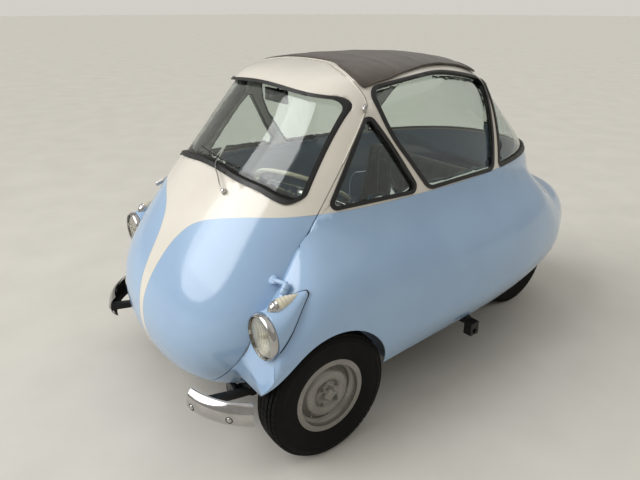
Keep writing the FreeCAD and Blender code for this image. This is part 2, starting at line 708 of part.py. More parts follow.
def rim_shape(centre, side):
    """A pressed steel wheel: rim with flanges, stepped disc, hub and brake drum."""
    bead = size("bead_radius")
    flange = size("rim_radius")
    wall = size("rim_wall")
    drum = size("drum_radius")
    outer = [(flange, 50), (flange, 46), (bead, 45.2), (bead - 0.2, 26), (bead - 16, 16), (bead - 16, -14),
             (bead - 0.2, -26), (bead, -45.2), (flange, -46), (flange, -50), (bead - wall, -50),
             (bead - wall, -29), (bead - 16 - wall, -16), (bead - 16 - wall, 18), (bead - wall, 28),
             (bead - wall, 50)]
    disc = [(bead - 16 - wall + 1, 14), (98, 22), (86, 36), (60, 38), (44, 26), (0.01, 26), (0.01, 20),
            (40, 20), (58, 32), (84, 30), (95, 16), (bead - 16 - wall + 1, 8)]
    out = Vector(side, 0, 0)
    body = revolved(outer, centre, out).fuse(revolved(disc, centre, out))
    deep = -size("drum_depth")
    hub = [(drum, deep), (drum, -2), (62, 3), (40, 20.5), (0.01, 20.5), (0.01, -4), (34, -4), (34, -12),
           (drum - 8, -12), (drum - 8, deep)]
    cup = revolved(hub, centre, out)
    cap = Part.makeCylinder(22, 22, centre + out * 25, out)
    return body.fuse([cup, cap])


def build_front_wheels():
    axle_y = size("front_axle_y")
    height = size("tyre_radius")
    half = size("front_track") / 2
    for side, word in ((1, "left"), (-1, "right")):
        centre = Vector(side * half, axle_y, height)
        out = Vector(side, 0, 0)
        node(feature("front_tyre_" + word, tyre_shape(centre, side)))
        wheel = rim_shape(centre, side)
        bearing = Part.makeCylinder(28, size("drum_depth") - 1, centre - out * (size("drum_depth") - 1), out)
        bore = Part.makeCylinder(size("hub_bore") + size("pin_clearance"), 60, centre - out * 60, out)
        node(feature("front_rim_" + word, wheel.fuse(bearing).cut(bore)))
        knuckle = knuckle_shape()
        node(feature("knuckle_" + word, knuckle if side > 0 else flipped(knuckle)))


def knuckle_shape():
    """The left steering knuckle: boss on the kingpin, stub axle, brake plate, arm and rod pin."""
    half = size("front_track") / 2
    y = size("front_axle_y")
    z = size("tyre_radius")
    out = Vector(1, 0, 0)
    pin_x = size("kingpin_x")
    reach = size("kingpin_reach")
    plate = size("fork_plate")
    radius = size("boss_radius")
    low = z - reach + plate + 0.5
    boss = Part.makeCylinder(radius, 2 * (reach - plate) - 1, Vector(pin_x, y, low))
    stub = Part.makeCylinder(size("hub_bore"), half - pin_x, Vector(pin_x, y, z), out)
    wall = size("backing_wall")
    backing = Part.makeCylinder(size("drum_radius"), wall,
                                Vector(half - size("drum_depth") - size("backing_gap") - wall, y, z), out)
    arm_x = size("steer_arm_x")
    arm_y = y + size("steer_arm_reach")
    width = size("rod_eye_radius") - 2
    thick = size("steer_arm_thick")
    corners = [(pin_x - radius, y), (pin_x + radius - 2, y), (arm_x + width, arm_y), (arm_x - width, arm_y)]
    face = Part.Face(Part.makePolygon([Vector(a, b, low) for a, b in corners + corners[:1]]))
    arm = face.extrude(Vector(0, 0, thick))
    tip = Part.makeCylinder(width, thick, Vector(arm_x, arm_y, low))
    foot = size("track_rod_z") - size("rod_eye_radius")
    pin = Part.makeCylinder(size("rod_pin_radius"), low + 1 - foot, Vector(arm_x, arm_y, foot))
    bore = Part.makeCylinder(size("kingpin_radius") + size("pin_clearance"), 400, Vector(pin_x, y, 0))
    return boss.fuse([stub, backing, arm, tip, pin]).cut(bore)


def build_track_rod():
    y = size("front_axle_y") + size("steer_arm_reach")
    z = size("track_rod_z")
    half = size("steer_arm_x")
    eye = size("rod_eye_radius")
    bar = Part.makeCylinder(size("track_rod_radius"), 2 * half, Vector(-half, y, z), Vector(1, 0, 0))
    eyes = [Part.makeCylinder(eye, 20, Vector(half, y, z - 10)),
            Part.makeCylinder(eye + size("rod_play"), 20, Vector(-half, y, z - 10))]
    bores = [Part.makeCylinder(size("rod_pin_radius") + size("pin_clearance"), 60, Vector(half, y, z - 30)),
             Part.makeCylinder(size("rod_pin_radius") + size("rod_play"), 60, Vector(-half, y, z - 30))]
    node(feature("track_rod", bar.fuse(eyes).cut(bores)))


def build_front_axle():
    y = size("front_axle_y")
    z = size("tyre_radius")
    kingpin = size("kingpin_x")
    reach = size("kingpin_reach")
    plate = size("fork_plate")
    width = size("fork_width")
    radius = size("beam_radius")
    post = 16
    beam_z = size("rail_height") - size("rail_radius") - radius - size("seat_clearance")
    post_x = kingpin - size("fork_reach")
    parts = [Part.makeCylinder(radius, 2 * post_x, Vector(-post_x, y, beam_z), Vector(1, 0, 0))]
    for side in (1, -1):
        low = beam_z - radius
        parts.append(Part.makeBox(post, width, z + reach - low,
                                  Vector(side * post_x - post / 2, y - width / 2, low)))
        for level in (z - reach, z + reach - plate):
            parts.append(Part.makeBox(size("fork_reach"), width, plate,
                                      Vector(min(side * post_x, side * kingpin), y - width / 2, level)))
            parts.append(Part.makeCylinder(width / 2, plate, Vector(side * kingpin, y, level)))
        foot = Vector(side * kingpin, y, z - reach)
        parts.append(Part.makeCylinder(size("kingpin_radius"), 2 * reach, foot))
    node(feature("front_axle_beam", parts[0].fuse(parts[1:]).removeSplitter()))


def build_chassis():
    """Two rails with flat pads, cross tubes that butt against them, and two jack brackets."""
    rails = []
    for side, word in ((1, "left"), (-1, "right")):
        middle = signed(side, "sizes.rail_spacing / 2")
        rails.append(rod("rail_" + word, "sizes.rail_radius", "sizes.rail_rear_y - sizes.rail_front_y",
                         (middle, "sizes.rail_front_y", "sizes.rail_height"), Y_AXIS))
        rails.append(box("pad_" + word, (middle + " - sizes.pad_width / 2", "sizes.pad_width"),
                         ("sizes.rail_front_y + 40", "sizes.rail_rear_y - sizes.rail_front_y - 240"),
                         ("sizes.rail_height", "sizes.rail_radius")))
    frame_rails = node(fuse("frame_rails", rails))
    tubes = []
    for name, y, half in (("front", "sizes.rail_front_y + 10", "435"), ("pedal", "-480", "410"),
                          ("jack", "sizes.jack_y", "sizes.jack_x"), ("engine", "315", "200")):
        tubes.append(rod("tube_" + name, "sizes.cross_radius", "2 * " + half,
                         ("-" + half, y, "sizes.rail_height"), X_AXIS))
    node(cut("frame_cross_tubes", fuse("cross_tubes", tubes), [frame_rails]))
    brackets = []
    for side, word in ((1, "left"), (-1, "right")):
        block = box("jack_block_" + word,
                    (start(side, "sizes.jack_x", "sizes.jack_x + sizes.jack_length"), "sizes.jack_length"),
                    ("sizes.jack_y - sizes.jack_width / 2", "sizes.jack_width"),
                    ("sizes.jack_low_z", "sizes.jack_height"))
        socket = rod("jack_hole_" + word, "sizes.jack_socket_radius", "sizes.jack_length + 2",
                     (start(side, "sizes.jack_x - 1", "sizes.jack_x + sizes.jack_length + 1"),
                      "sizes.jack_y", "sizes.jack_low_z + 20"), X_AXIS)
        brackets.append(cut("jack_bracket_" + word, block, [socket]))
    node(fuse("jack_brackets", brackets))


def build_floor():
    base = size("rail_height") + size("rail_radius")
    wall = size("floor_wall")
    inner = body_skin(size("cab_wall") + size("seat_clearance"), size("body_base") - 10)
    slab_half = size("liner_inner_x") - 4
    slab = Part.makeBox(2 * slab_half, 1275, wall, Vector(-slab_half, -945, base))
    wide = Part.makeBox(1200, 330 + 395, wall, Vector(-600, -395, base))
    node(feature("floor_pan", biggest(slab.fuse(wide).common(inner))))


def build_rear_axle():
    y = size("front_axle_y") + size("wheelbase")
    z = size("tyre_radius")
    half = size("rear_track") / 2
    shaft_radius = size("rear_shaft_radius")
    tyres = []
    rims = []
    for side in (1, -1):
        centre = Vector(side * half, y, z)
        out = Vector(side, 0, 0)
        tyres.append(tyre_shape(centre, side))
        wheel = rim_shape(centre, side)
        rims.append(wheel.fuse(Part.makeCylinder(34, 30, centre - out * 26, out)).cut(
            Part.makeCylinder(shaft_radius, 60, centre - out * 60, out)))
    node(feature("rear_tyres", Part.Compound(tyres)))
    node(feature("rear_rims", Part.Compound(rims)))
    shaft = Part.makeCylinder(shaft_radius, 2 * half, Vector(-half, y, z), Vector(1, 0, 0))
    node(feature("rear_axle_shaft", shaft))
    slack = size("shaft_clearance")
    springs = []
    rail = size("rail_spacing") / 2
    for side in (1, -1):
        width = size("spring_width")
        x = side * rail - width / 2
        top = z + shaft_radius + size("bearing_wall")
        ring = Part.makeCylinder(shaft_radius + size("bearing_wall"), width, Vector(x, y, z), Vector(1, 0, 0))
        leaves = []
        start_y = size("rail_rear_y") - 100
        for leaf in range(int(size("spring_leaves"))):
            thick = size("spring_thick")
            leaves.append(Part.makeBox(width, y - start_y - 50 * leaf, thick,
                                       Vector(x, start_y, top - 2 + leaf * thick)))
        rail_z = size("rail_height")
        clamp = Part.makeBox(width, 90, top - 2 - rail_z, Vector(x, start_y, rail_z))
        tube = Part.makeCylinder(size("rail_radius"), FAR, Vector(side * rail, 0, rail_z), Vector(0, 1, 0))
        saddle = clamp.cut(tube)
        bore = Part.makeCylinder(shaft_radius + slack, width + 2, Vector(x - 1, y, z), Vector(1, 0, 0))
        springs.append(ring.fuse(leaves + [saddle]).cut(bore).removeSplitter())
    node(feature("rear_springs", Part.Compound(springs)))
    case_y = size("engine_front_y") + 80
    case_x = 60
    width = size("chain_width")
    slot = [Part.makeCylinder(58, width, Vector(case_x, c, z), Vector(1, 0, 0)) for c in (case_y, y)]
    slot.append(Part.makeBox(width, y - case_y, 100, Vector(case_x, case_y, z - 50)))
    case = slot[0].fuse(slot[1:]).removeSplitter()
    bore = Part.makeCylinder(shaft_radius + slack, width + 2, Vector(case_x - 1, y, z), Vector(1, 0, 0))
    case = case.cut(bore)
    block = engine_shape()
    node(feature("chain_case", case.cut(block)))
    node(feature("engine_block", block))


def engine_shape():
    corner = Vector(size("engine_right_x"), size("engine_front_y"), size("rail_height") + size("rail_radius"))
    return Part.makeBox(size("engine_width"), size("engine_length"), size("engine_height"), corner)


def build_seat():
    half = size("seat_width") / 2
    front = size("seat_front_y")
    depth = size("seat_depth")
    z = size("seat_z")
    base = size("rail_height") + size("rail_radius") + size("floor_wall")
    gap = size("seat_clearance")
    wall = 4
    across = size("seat_base_half")
    shell = Part.makeBox(2 * across, depth, z - base, Vector(-across, front, base))
    inside = across - wall
    hollow = Part.makeBox(2 * inside, depth, z - base - wall, Vector(-inside, front + wall, base))
    node(feature("seat_base", shell.cut(hollow)))
    cushion = Part.makeBox(2 * half, depth, size("seat_thick"), Vector(-half, front, z + gap))
    cushion = cushion.makeFillet(30, cushion.Edges)
    node(feature("seat_cushion", cushion))
    back_y = front + depth + gap
    thick = size("back_thick")
    low = z + gap
    top = low + size("seat_thick") + size("back_height")
    corners = [(-half, low, 20), (half, low, 20), (half - 100, top, 60), (100 - half, top, 60)]
    node(feature("seat_back", front_prism(corners, back_y, back_y + thick)))


def build_shelf():
    wall = size("shelf_wall")
    z = size("shelf_z")
    front = size("seat_front_y") + size("seat_depth") + size("seat_clearance") * 2 + size("back_thick")
    slab = Part.makeBox(2 * FAR, FAR, wall, Vector(-FAR, front, z))
    room = body_skin(size("cab_wall") + size("seat_clearance"), size("body_base") - 10)
    node(feature("parcel_shelf", biggest(room.common(slab))))


def pod_shape():
    centre = lamp_centre()
    radius = size("lamp_radius")
    length = size("pod_length")
    # Rings of the pod. Columns: share of the length, shift out, rise, share of the lamp's radius
    rings = ((0, 0, 0, 1), (0.3, 4, 28, 0.85), (0.65, 12, 76, 0.52), (1, 20, 118, 0.12))
    wires = []
    for share, shift, rise, part in rings:
        ring_centre = centre + Vector(shift, share * length, rise)
        wires.append(Part.Wire(Part.makeCircle(part * radius, ring_centre, Vector(0, 1, 0))))
    return Part.makeLoft(wires, True, False)


def lamp_centre():
    return Vector(size("lamp_x"), size("lamp_y"), size("lamp_z"))


def flipped(shape):
    return shape.mirror(Vector(), Vector(1, 0, 0))


def pair(name, shape):
    """The left piece and its mirror image as one sub-part of two solids."""
    solids = biggest(shape).Solids
    return node(feature(name, Part.Compound(solids + [flipped(solid) for solid in solids])))


def build_lamps():
    clear = body_skin(-size("door_gap"))
    wing = wing_skin(0, 1, -10)
    centre = lamp_centre()
    forward = Vector(0, -1, 0)
    radius = size("lamp_radius")
    pod = pod_shape()
    pair("headlamp_pods", pod.cut([wing, clear]))
    depth = size("lamp_rim_depth")
    inside = radius - size("lamp_rim")
    rim = [(inside, 0), (radius, 0), (radius + 2, depth * 0.6), (radius - 4, depth), (inside, depth)]
    pair("headlamp_rims", revolved(rim, centre, forward).cut(wing))
    bulge = size("lens_bulge")
    ball = (inside ** 2 + bulge ** 2) / (2 * bulge)
    cap = Part.makeSphere(ball, centre + forward * (depth * 0.6 + bulge - ball))
    pair("headlamp_lenses", Part.makeCylinder(inside, depth + bulge, centre, forward).common(cap).cut(wing))
    nose = centre + Vector(-4, 12, 76)
    tail = centre + Vector(20, 132, 128)
    run = tail - nose
    # Rings of the indicator along its own length. Columns: share of the length, share of its radius
    rings = ((0, 0.4), (0.15, 0.85), (0.35, 1), (0.65, 0.7), (1, 0.1))
    width = size("indicator_radius")
    wires = [Part.Wire(Part.makeCircle(part * width, nose + run * share, run)) for share, part in rings]
    pair("indicator_lamps", Part.makeLoft(wires, True, False).cut([pod, wing, clear]))


def build_bumpers():
    radius = size("bumper_radius")
    wall = size("bumper_wall")
    depth = size("bumper_depth")
    half = size("bumper_height") / 2
    centre = Vector(size("bumper_centre_x"), size("bumper_centre_y"), size("bumper_z"))
    edges = []
    for shift in (0, wall):
        crown = centre + Vector(radius - shift, 0, 0)
        low, high = [centre + Vector(radius - depth - shift, 0, end * half) for end in (-1, 1)]
        edges.append(Part.Arc(low, crown, high).toShape())
    for end in (-1, 1):
        edge = centre + Vector(radius - depth, 0, end * half)
        edges.append(Part.LineSegment(edge, edge - Vector(wall, 0, 0)).toShape())
    face = Part.Face(Part.Wire(Part.__sortEdges__(edges)))
    face.rotate(centre, Vector(0, 0, 1), size("bumper_first_angle"))
    bar = face.revolve(centre, Vector(0, 0, 1), size("bumper_angle"))
    pair("front_bumpers", bar)
    iron_x = size("iron_x")
    across = iron_x - centre.x
    contact = centre.y - math.sqrt((radius - wall) ** 2 - across ** 2)
    # Each iron slopes up from the frame's front tube and ends in a pad behind the bar
    cross_y = size("rail_front_y") + 10
    width = size("iron_width")
    thick = size("iron_thick")
    pad = contact + size("iron_pad")
    low = size("rail_height") - thick / 2
    level = centre.z
    side_view = [(cross_y, low), (cross_y, low + thick), (pad, level + thick / 2),
                 (pad, level + 1.5 * thick), (contact, level + 1.5 * thick),
                 (contact, level - 1.5 * thick), (pad, level - thick)]
    corners = [Vector(iron_x - width / 2, y, z) for y, z in side_view + side_view[:1]]
    blade = Part.Face(Part.makePolygon(corners)).extrude(Vector(width, 0, 0))
    tube_end = Vector(0, cross_y, size("rail_height"))
    cross = Part.makeCylinder(size("cross_radius"), FAR, tube_end, Vector(1, 0, 0))
    pair("bumper_irons", blade.cut([bar, cross]))
    # Two short bars below the tail's corners, each on a plate that bolts inside the tail's lower edge
    end_y = size("tail_end_y")
    bar_width = size("guard_width")
    bar_height = size("guard_height")
    guard = Part.makeBox(bar_width, 20, bar_height,
                         Vector(size("guard_x") - bar_width / 2, end_y - 6, size("guard_z") - bar_height / 2))
    guard = guard.makeFillet(9, guard.Edges)
    bracket_corner = Vector(size("guard_x") - width / 2, end_y - 36, size("guard_z") - 24)
    bracket = Part.makeBox(width, 30, 175, bracket_corner)
    skin = wing_skin(0, 1, -10).cut(wing_skin(size("wing_wall"), 1, -20))
    above = size("guard_z") + bar_height / 2
    outside = Part.makeBox(FAR, FAR, FAR, Vector(0, end_y - size("wing_wall"), above))
    pair("rear_guards", guard.fuse(bracket.cut(outside)).cut(skin))


def build_horn():
    centre = Vector(size("horn_x"), size("horn_y"), size("horn_z"))
    radius = size("horn_radius")
    depth = size("horn_depth")
    profile = [(0.01, 0), (radius, 0), (radius, 14), (radius * 0.7, 26), (14, 30), (14, depth),
               (0.01, depth)]
    tube_end = Vector(0, size("rail_front_y") + 10, size("rail_height"))
    tube = Part.makeCylinder(size("cross_radius"), FAR, tube_end, Vector(1, 0, 0))
    node(feature("horn", biggest(revolved(profile, centre, Vector(0, 1, 0)).cut(tube))))


def hinge_axis():
    low = Vector(size("hinge_low_x"), size("hinge_low_y"), size("hinge_low_z"))
    top = Vector(size("hinge_top_x"), size("hinge_top_y"), size("hinge_top_z"))
    return low, top, (top - low).normalize()


def build_hinges():
    low, top, run = hinge_axis()
    fixed = []
    moving = []
    body = body_skin(0)
    wing = wing_skin(0, 1, -10)
    for point, radius, length in ((low, 14, 44), (top, 8, 30)):
        pin = Part.makeCylinder(radius * 0.45, length, point - run * (length / 2), run)
        inward = Vector(-1, 0, 0) - run * run.dot(Vector(-1, 0, 0))
        inward.normalize()
        side_way = run.cross(inward).normalize()
        if side_way.y < 0:
            side_way = side_way * -1
        upper = Part.makeCylinder(radius, length / 2 - 0.5, point + run * 0.5, run)
        lower = Part.makeCylinder(radius, length / 2 - 0.5, point - run * (length / 2), run)
        body_way = side_way * 0.8 + inward * 0.6
        door_way = side_way * -0.8 + inward * 0.6
        body_arm = Part.makeCylinder(radius * 0.7, 75, point - run * (length / 4), body_way)
        door_arm = Part.makeCylinder(radius * 0.7, 75, point + run * (length / 4), door_way)
        bore = Part.makeCylinder(radius * 0.45 + 0.05, length + 2, point - run * (length / 2 + 1), run)
        fixed.append(lower.fuse([body_arm]).cut([body, wing, upper]).cut(bore).fuse(pin))
        moving.append(upper.fuse([door_arm]).cut([body, wing, lower]).cut(bore))
    node(feature("body_hinges", Part.Compound([biggest(f, 100).Solids[0] for f in fixed])))
    node(feature("door_hinge_arms", Part.Compound([biggest(m, 100).Solids[0] for m in moving])))


def skin_point(x, z, lift=0):
    """The point of the front skin at this place in front view, lifted off it."""
    line = Part.makeLine(Vector(x, -FAR, z), Vector(x, -200, z))
    hits = body_skin(-lift).common(line).Edges
    return hits[0].Vertexes[0].Point


def side_point(y, z):
    """The point of the right-hand skin at this place in side view."""
    line = Part.makeLine(Vector(-FAR, y, z), Vector(0, y, z))
    return body_skin(0).common(line).Edges[0].Vertexes[0].Point


def build_door_fittings():
    foot = skin_point(190, 912)
    lifted = skin_point(190, 912, 16)
    spindle = Part.makeCylinder(7, 26, foot, lifted - foot)
    knee = skin_point(185, 950, 12)
    tip = skin_point(60, 1090, 10)
    arm = Part.makeCylinder(3, (tip - lifted).Length, lifted, tip - lifted)
    blade_low = skin_point(20, 1000, 8)
    blade_top = skin_point(90, 1180, 8)
    blade = Part.makeCylinder(4, (blade_top - blade_low).Length, blade_low, blade_top - blade_low)
    wiper = spindle.fuse([arm, blade]).cut(body_skin(0))
    node(feature("wiper", biggest(wiper)))
    # Handle on the right-hand edge of the door
    back = side_point(-740, 800)
    front = side_point(-850, 800)
    off = Vector(-26, -12, 0)
    plate = Part.makeCylinder(15, 40, back + off * -0.3, off)
    lever = Part.makeCylinder(8, (front - back).Length, back + off, front - back)
    node(feature("door_handle", biggest(plate.fuse(lever).cut(body_skin(0)))))
    inner = body_skin(size("cab_wall"), size("body_base") - 10)
    stalk = Part.makeCylinder(5, 120, Vector(0, -450, 1310), Vector(0, -0.3, -1))
    glass = Part.makeBox(150, 14, 50, Vector(-75, -492, 1175))
    node(feature("inside_mirror", biggest(stalk.fuse(glass).common(inner))))


def build_tail_lamps():
    centre = Vector(235, size("tail_end_y"), 470)
    profile = [(0.01, -20), (32, -20), (32, 4), (26, 11), (12, 15), (0.01, 15)]
    lamp = revolved(profile, centre, Vector(0, 1, 0)).cut(wing_skin(0, 1, -10))
    pair("tail_lamps", lamp)


def build_exhaust():
    radius = size("silencer_radius")
    z = size("rail_height") + size("rail_radius") - size("seat_clearance") - radius
    at = Vector(size("silencer_x"), size("silencer_y"), z)
    node(feature("silencer", Part.makeCylinder(radius, size("silencer_length"), at, Vector(1, 0, 0))))


def build_controls():
    base = size("rail_height") + size("rail_radius") + size("floor_wall")
    pedals = []
    for x in (60, 140, 222):
        pad = Part.makeBox(44, 12, 60, Vector(x - 22, -745, base + 110))
        leg = Part.makeBox(10, 12, 130, Vector(x - 5, -745, base))
        pedals.append(pad.fuse(leg))
    node(feature("pedals", Part.Compound(pedals)))
    foot = Vector(430, -230, base)
    lean = Vector(0.2, -0.1, 1).normalize()
    boot = Part.makeCone(24, 12, 20, foot)
    lever = Part.makeCylinder(8, 320, foot + lean * 10, lean)
    knob = Part.makeSphere(20, foot + lean * 335)
    node(feature("gear_lever", boot.fuse([lever, knob])))


build_body()
build_roof_cloth()
build_cab_glass()
build_door()
build_steering_wheel()
build_front_wheels()
build_track_rod()
build_front_axle()
build_chassis()
build_floor()
build_rear_axle()
build_seat()
build_shelf()
build_lamps()
build_bumpers()
build_horn()
build_hinges()
build_door_fittings()
build_tail_lamps()
build_exhaust()
build_controls()
doc.recompute()

for obj in doc.Objects:
    if "Invalid" in obj.State or "Error" in obj.State:
        raise RuntimeError("failed: " + obj.Name)
os.makedirs("parts", exist_ok=True)
for obj in nodes:
    if obj.Shape.isNull() or not obj.Shape.isValid():
        raise RuntimeError("bad shape: " + obj.Label)
    obj.Shape.exportStep("parts/%s.step" % obj.Label)
print(len(nodes), "sub-parts")
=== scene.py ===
import json
import math
import bpy
import bmesh
from mathutils import Matrix, Vector, noise
from mathutils.bvhtree import BVHTree

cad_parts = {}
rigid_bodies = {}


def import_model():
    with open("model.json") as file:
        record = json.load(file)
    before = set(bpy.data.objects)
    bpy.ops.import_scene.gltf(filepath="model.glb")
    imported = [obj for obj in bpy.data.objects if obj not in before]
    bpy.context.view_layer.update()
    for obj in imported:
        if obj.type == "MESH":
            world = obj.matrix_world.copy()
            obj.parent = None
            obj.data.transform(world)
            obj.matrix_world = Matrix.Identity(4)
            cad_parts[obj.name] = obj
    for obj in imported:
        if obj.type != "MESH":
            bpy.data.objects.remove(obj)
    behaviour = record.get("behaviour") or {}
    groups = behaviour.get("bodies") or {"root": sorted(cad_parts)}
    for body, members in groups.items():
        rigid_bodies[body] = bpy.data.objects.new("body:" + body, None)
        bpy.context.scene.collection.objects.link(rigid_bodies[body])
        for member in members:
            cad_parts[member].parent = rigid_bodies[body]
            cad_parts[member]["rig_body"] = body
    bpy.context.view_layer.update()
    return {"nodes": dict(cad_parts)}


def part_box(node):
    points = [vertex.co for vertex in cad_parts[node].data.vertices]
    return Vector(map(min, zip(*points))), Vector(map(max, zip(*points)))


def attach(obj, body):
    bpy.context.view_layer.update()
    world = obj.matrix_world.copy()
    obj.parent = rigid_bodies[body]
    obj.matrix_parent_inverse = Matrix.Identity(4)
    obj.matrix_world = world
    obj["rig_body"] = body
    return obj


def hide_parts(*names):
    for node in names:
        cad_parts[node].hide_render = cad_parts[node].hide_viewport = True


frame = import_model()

nodes = frame["nodes"]
scene = bpy.context.scene
upright = Vector((0, 0, 1))
mirrorSide = Matrix.Scale(-1, 4, (1, 0, 0))     # swaps the car's left and right
print("frame loaded:", len(nodes), "sub-parts")


def linear(code):
    # sRGB hex to the linear colour that a shader reads
    channels = [int(code[i:i + 2], 16) / 255 for i in (1, 3, 5)]
    return tuple(c / 12.92 if c <= 0.04045 else ((c + 0.055) / 1.055) ** 2.4 for c in channels) + (1,)


def fillSockets(tree, node, inputs):
    for key, value in inputs.items():
        if isinstance(value, bpy.types.NodeSocket):
            tree.links.new(value, node.inputs[key])
        else:
            node.inputs[key].default_value = value


def addNode(tree, kind, inputs=None, out=0, **settings):
    # Adds a node with its settings and links, and hands on one of its outputs
    node = tree.nodes.new("ShaderNode" + kind)
    for key, value in settings.items():
        setattr(node, key, value)
    fillSockets(tree, node, inputs or {})
    return node.outputs[out]


def newMaterial(name, sockets):
    material = bpy.data.materials.new(name)
    material.use_nodes = True
    tree = material.node_tree
    shader = tree.nodes["Principled BSDF"]
    fillSockets(tree, shader, sockets)
    return material, tree, shader


def patchTone(tree, patches, tones, low=0.38):
    # One tone drifts into the other over the middle of the patches' range
    share = addNode(tree, "MapRange", {"Value": patches, "From Min": low, "From Max": 1 - low})
    return addNode(tree, "Mix", {0: share, 6: linear(tones[0]), 7: linear(tones[1])}, out=2, data_type="RGBA")


def patchesAndGrain(tree, place, look):
    # Broad patches and fine grain, with their widths given in mm
    return [addNode(tree, "TexNoise", {"Vector": place, "Scale": 1000 / look[size], "Detail": detail},
                    out="Fac") for size, detail in (("patch", 4.0), ("grain", 2.0))]


def skinLook(tree, shader, tone, patches, rough, grain, bump):
    # Colour, a roughness that drifts with the patches, and relief with its height in mm
    fillSockets(tree, shader, {
        "Base Color": tone,
        "Roughness": addNode(tree, "MapRange", {"Value": patches, "From Min": 0.35, "From Max": 0.65,
                                                "To Min": rough[0], "To Max": rough[1]}),
        "Normal": addNode(tree, "Bump", {"Height": grain, "Distance": bump / 1000, "Strength": 1.0})})


# Each finish: two tones, width of its patches and grain in mm, roughness range and bump in mm. Metal, coat
# and shine are given where they differ from bare paint. Grain is drawn no finer than it shows
finishes = {
    # Sprayed enamel under a clear coat: even colour, sharp soft-edged reflections and a faint orange peel
    "creamEnamel": {"tones": ("#ddd8cd", "#e3ded3"), "patch": 260, "grain": 3, "rough": (0.14, 0.22),
                    "bump": 0.004, "coat": 0.5},
    "skyEnamel": {"tones": ("#98b4d4", "#9dbad9"), "patch": 260, "grain": 3, "rough": (0.14, 0.22),
                  "bump": 0.004, "coat": 0.5},
    # Darker, flat blue for the inside of the shell, the door's and cab frame's edges and the dash, with no
    # reflection: painted shade in the seams and inside the shell
    "innerPaint": {"tones": ("#5f6f82", "#66778a"), "patch": 120, "grain": 2, "rough": (0.42, 0.55),
                   "bump": 0.02},
    # Chrome plate on pressed steel: a mirror that road dust dulls in patches
    "bumperChrome": {"tones": ("#bdbbba", "#b1afae"), "patch": 60, "grain": 1.2, "rough": (0.05, 0.16),
                     "bump": 0.003, "metal": 1},
    # Aluminium paint on pressed wheels: a grey glint without a clear reflection
    "wheelSilver": {"tones": ("#8c8984", "#85817c"), "patch": 90, "grain": 1.5, "rough": (0.26, 0.34),
                    "bump": 0.002, "metal": 0.45, "coat": 0.3},
    # Brushed chassis black: nearly matt, with dust in it
    "frameBlack": {"tones": ("#1b1b1c", "#262525"), "patch": 50, "grain": 1.5, "rough": (0.42, 0.62),
                   "bump": 0.03, "metal": 0.2},
    # Sand-cast aluminium: dull, with a coarse skin
    "castAlloy": {"tones": ("#8b8985", "#78756f"), "patch": 30, "grain": 1.4, "rough": (0.45, 0.62),
                  "bump": 0.08, "metal": 0.8},
    # Extruded rubber channel: black, with a dull gleam along its lip
    "windowRubber": {"tones": ("#121213", "#1b1b1b"), "patch": 40, "grain": 0.8, "rough": (0.4, 0.55),
                     "bump": 0.02},
    # Vulcanised rubber, black drawn darker than the rubber is, as painted shade: the darkest finish here, dry
    # and almost without shine
    "shadedTyreRubber": {"tones": ("#0b0b0b", "#131312"), "patch": 45, "grain": 0.9, "rough": (0.6, 0.8),
                   "bump": 0.04, "shine": 0.15},
    # Moulded phenolic resin: smooth and black, with a soft shine
    "blackResin": {"tones": ("#161617", "#1e1e1f"), "patch": 40, "grain": 1, "rough": (0.25, 0.38),
                   "bump": 0.01, "coat": 0.2},
    # Moulded urea resin: warm ivory, smooth and a little milky
    "ivoryResin": {"tones": ("#d8d2bf", "#cec7b2"), "patch": 50, "grain": 1, "rough": (0.22, 0.34),
                   "bump": 0.008, "coat": 0.3},
    # Pressed rubber matting: dark grey and dry, scuffed by shoes
    "ribbedMat": {"tones": ("#2a2a2c", "#333335"), "patch": 70, "grain": 1.2, "rough": (0.7, 0.85),
                  "bump": 0.06},
    # Silvered steel bowl: throws nearly all the light back
    "mirrorSilver": {"tones": ("#e6e8e8", "#dee0e0"), "patch": 90, "grain": 4, "rough": (0.02, 0.05),
                     "bump": 0.001, "metal": 1},
}
coatRough = 0.06
materials = {}
for name, look in finishes.items():
    material, tree, shader = newMaterial(name, {
        "Metallic": look.get("metal", 0), "Coat Weight": look.get("coat", 0), "Coat Roughness": coatRough,
        "Specular IOR Level": look.get("shine", 0.5)})
    place = addNode(tree, "TexCoord", out="Object")
    patches, grain = patchesAndGrain(tree, place, look)
    tone = patchTone(tree, patches, look["tones"])
    skinLook(tree, shader, tone, patches, look["rough"], grain, look["bump"])
    materials[name] = material


# The door's sprayed enamel in two colours: cream above the waist, running down the nose as a narrowing stripe
# with a thin dark edge. Heights and widths in metres, patches and grain in mm
doorLook = {"waist": 0.8715, "low": 0.40, "high": 0.875, "widest": 0.5, "blend": 0.0006, "line": 0.0011,
            "lineTone": "#3c4652", "lineShare": 0.4, "patch": 250, "grain": 3.03, "coat": 0.5,
            # half width of the stripe in mm at each height
            "stripe": ((0.40, 18), (0.47, 18), (0.55, 28), (0.62, 39), (0.68, 50), (0.716, 61), (0.75, 80),
                       (0.781, 106), (0.81, 152), (0.834, 220), (0.852, 295), (0.864, 365), (0.8695, 440),
                       (0.875, 500))}


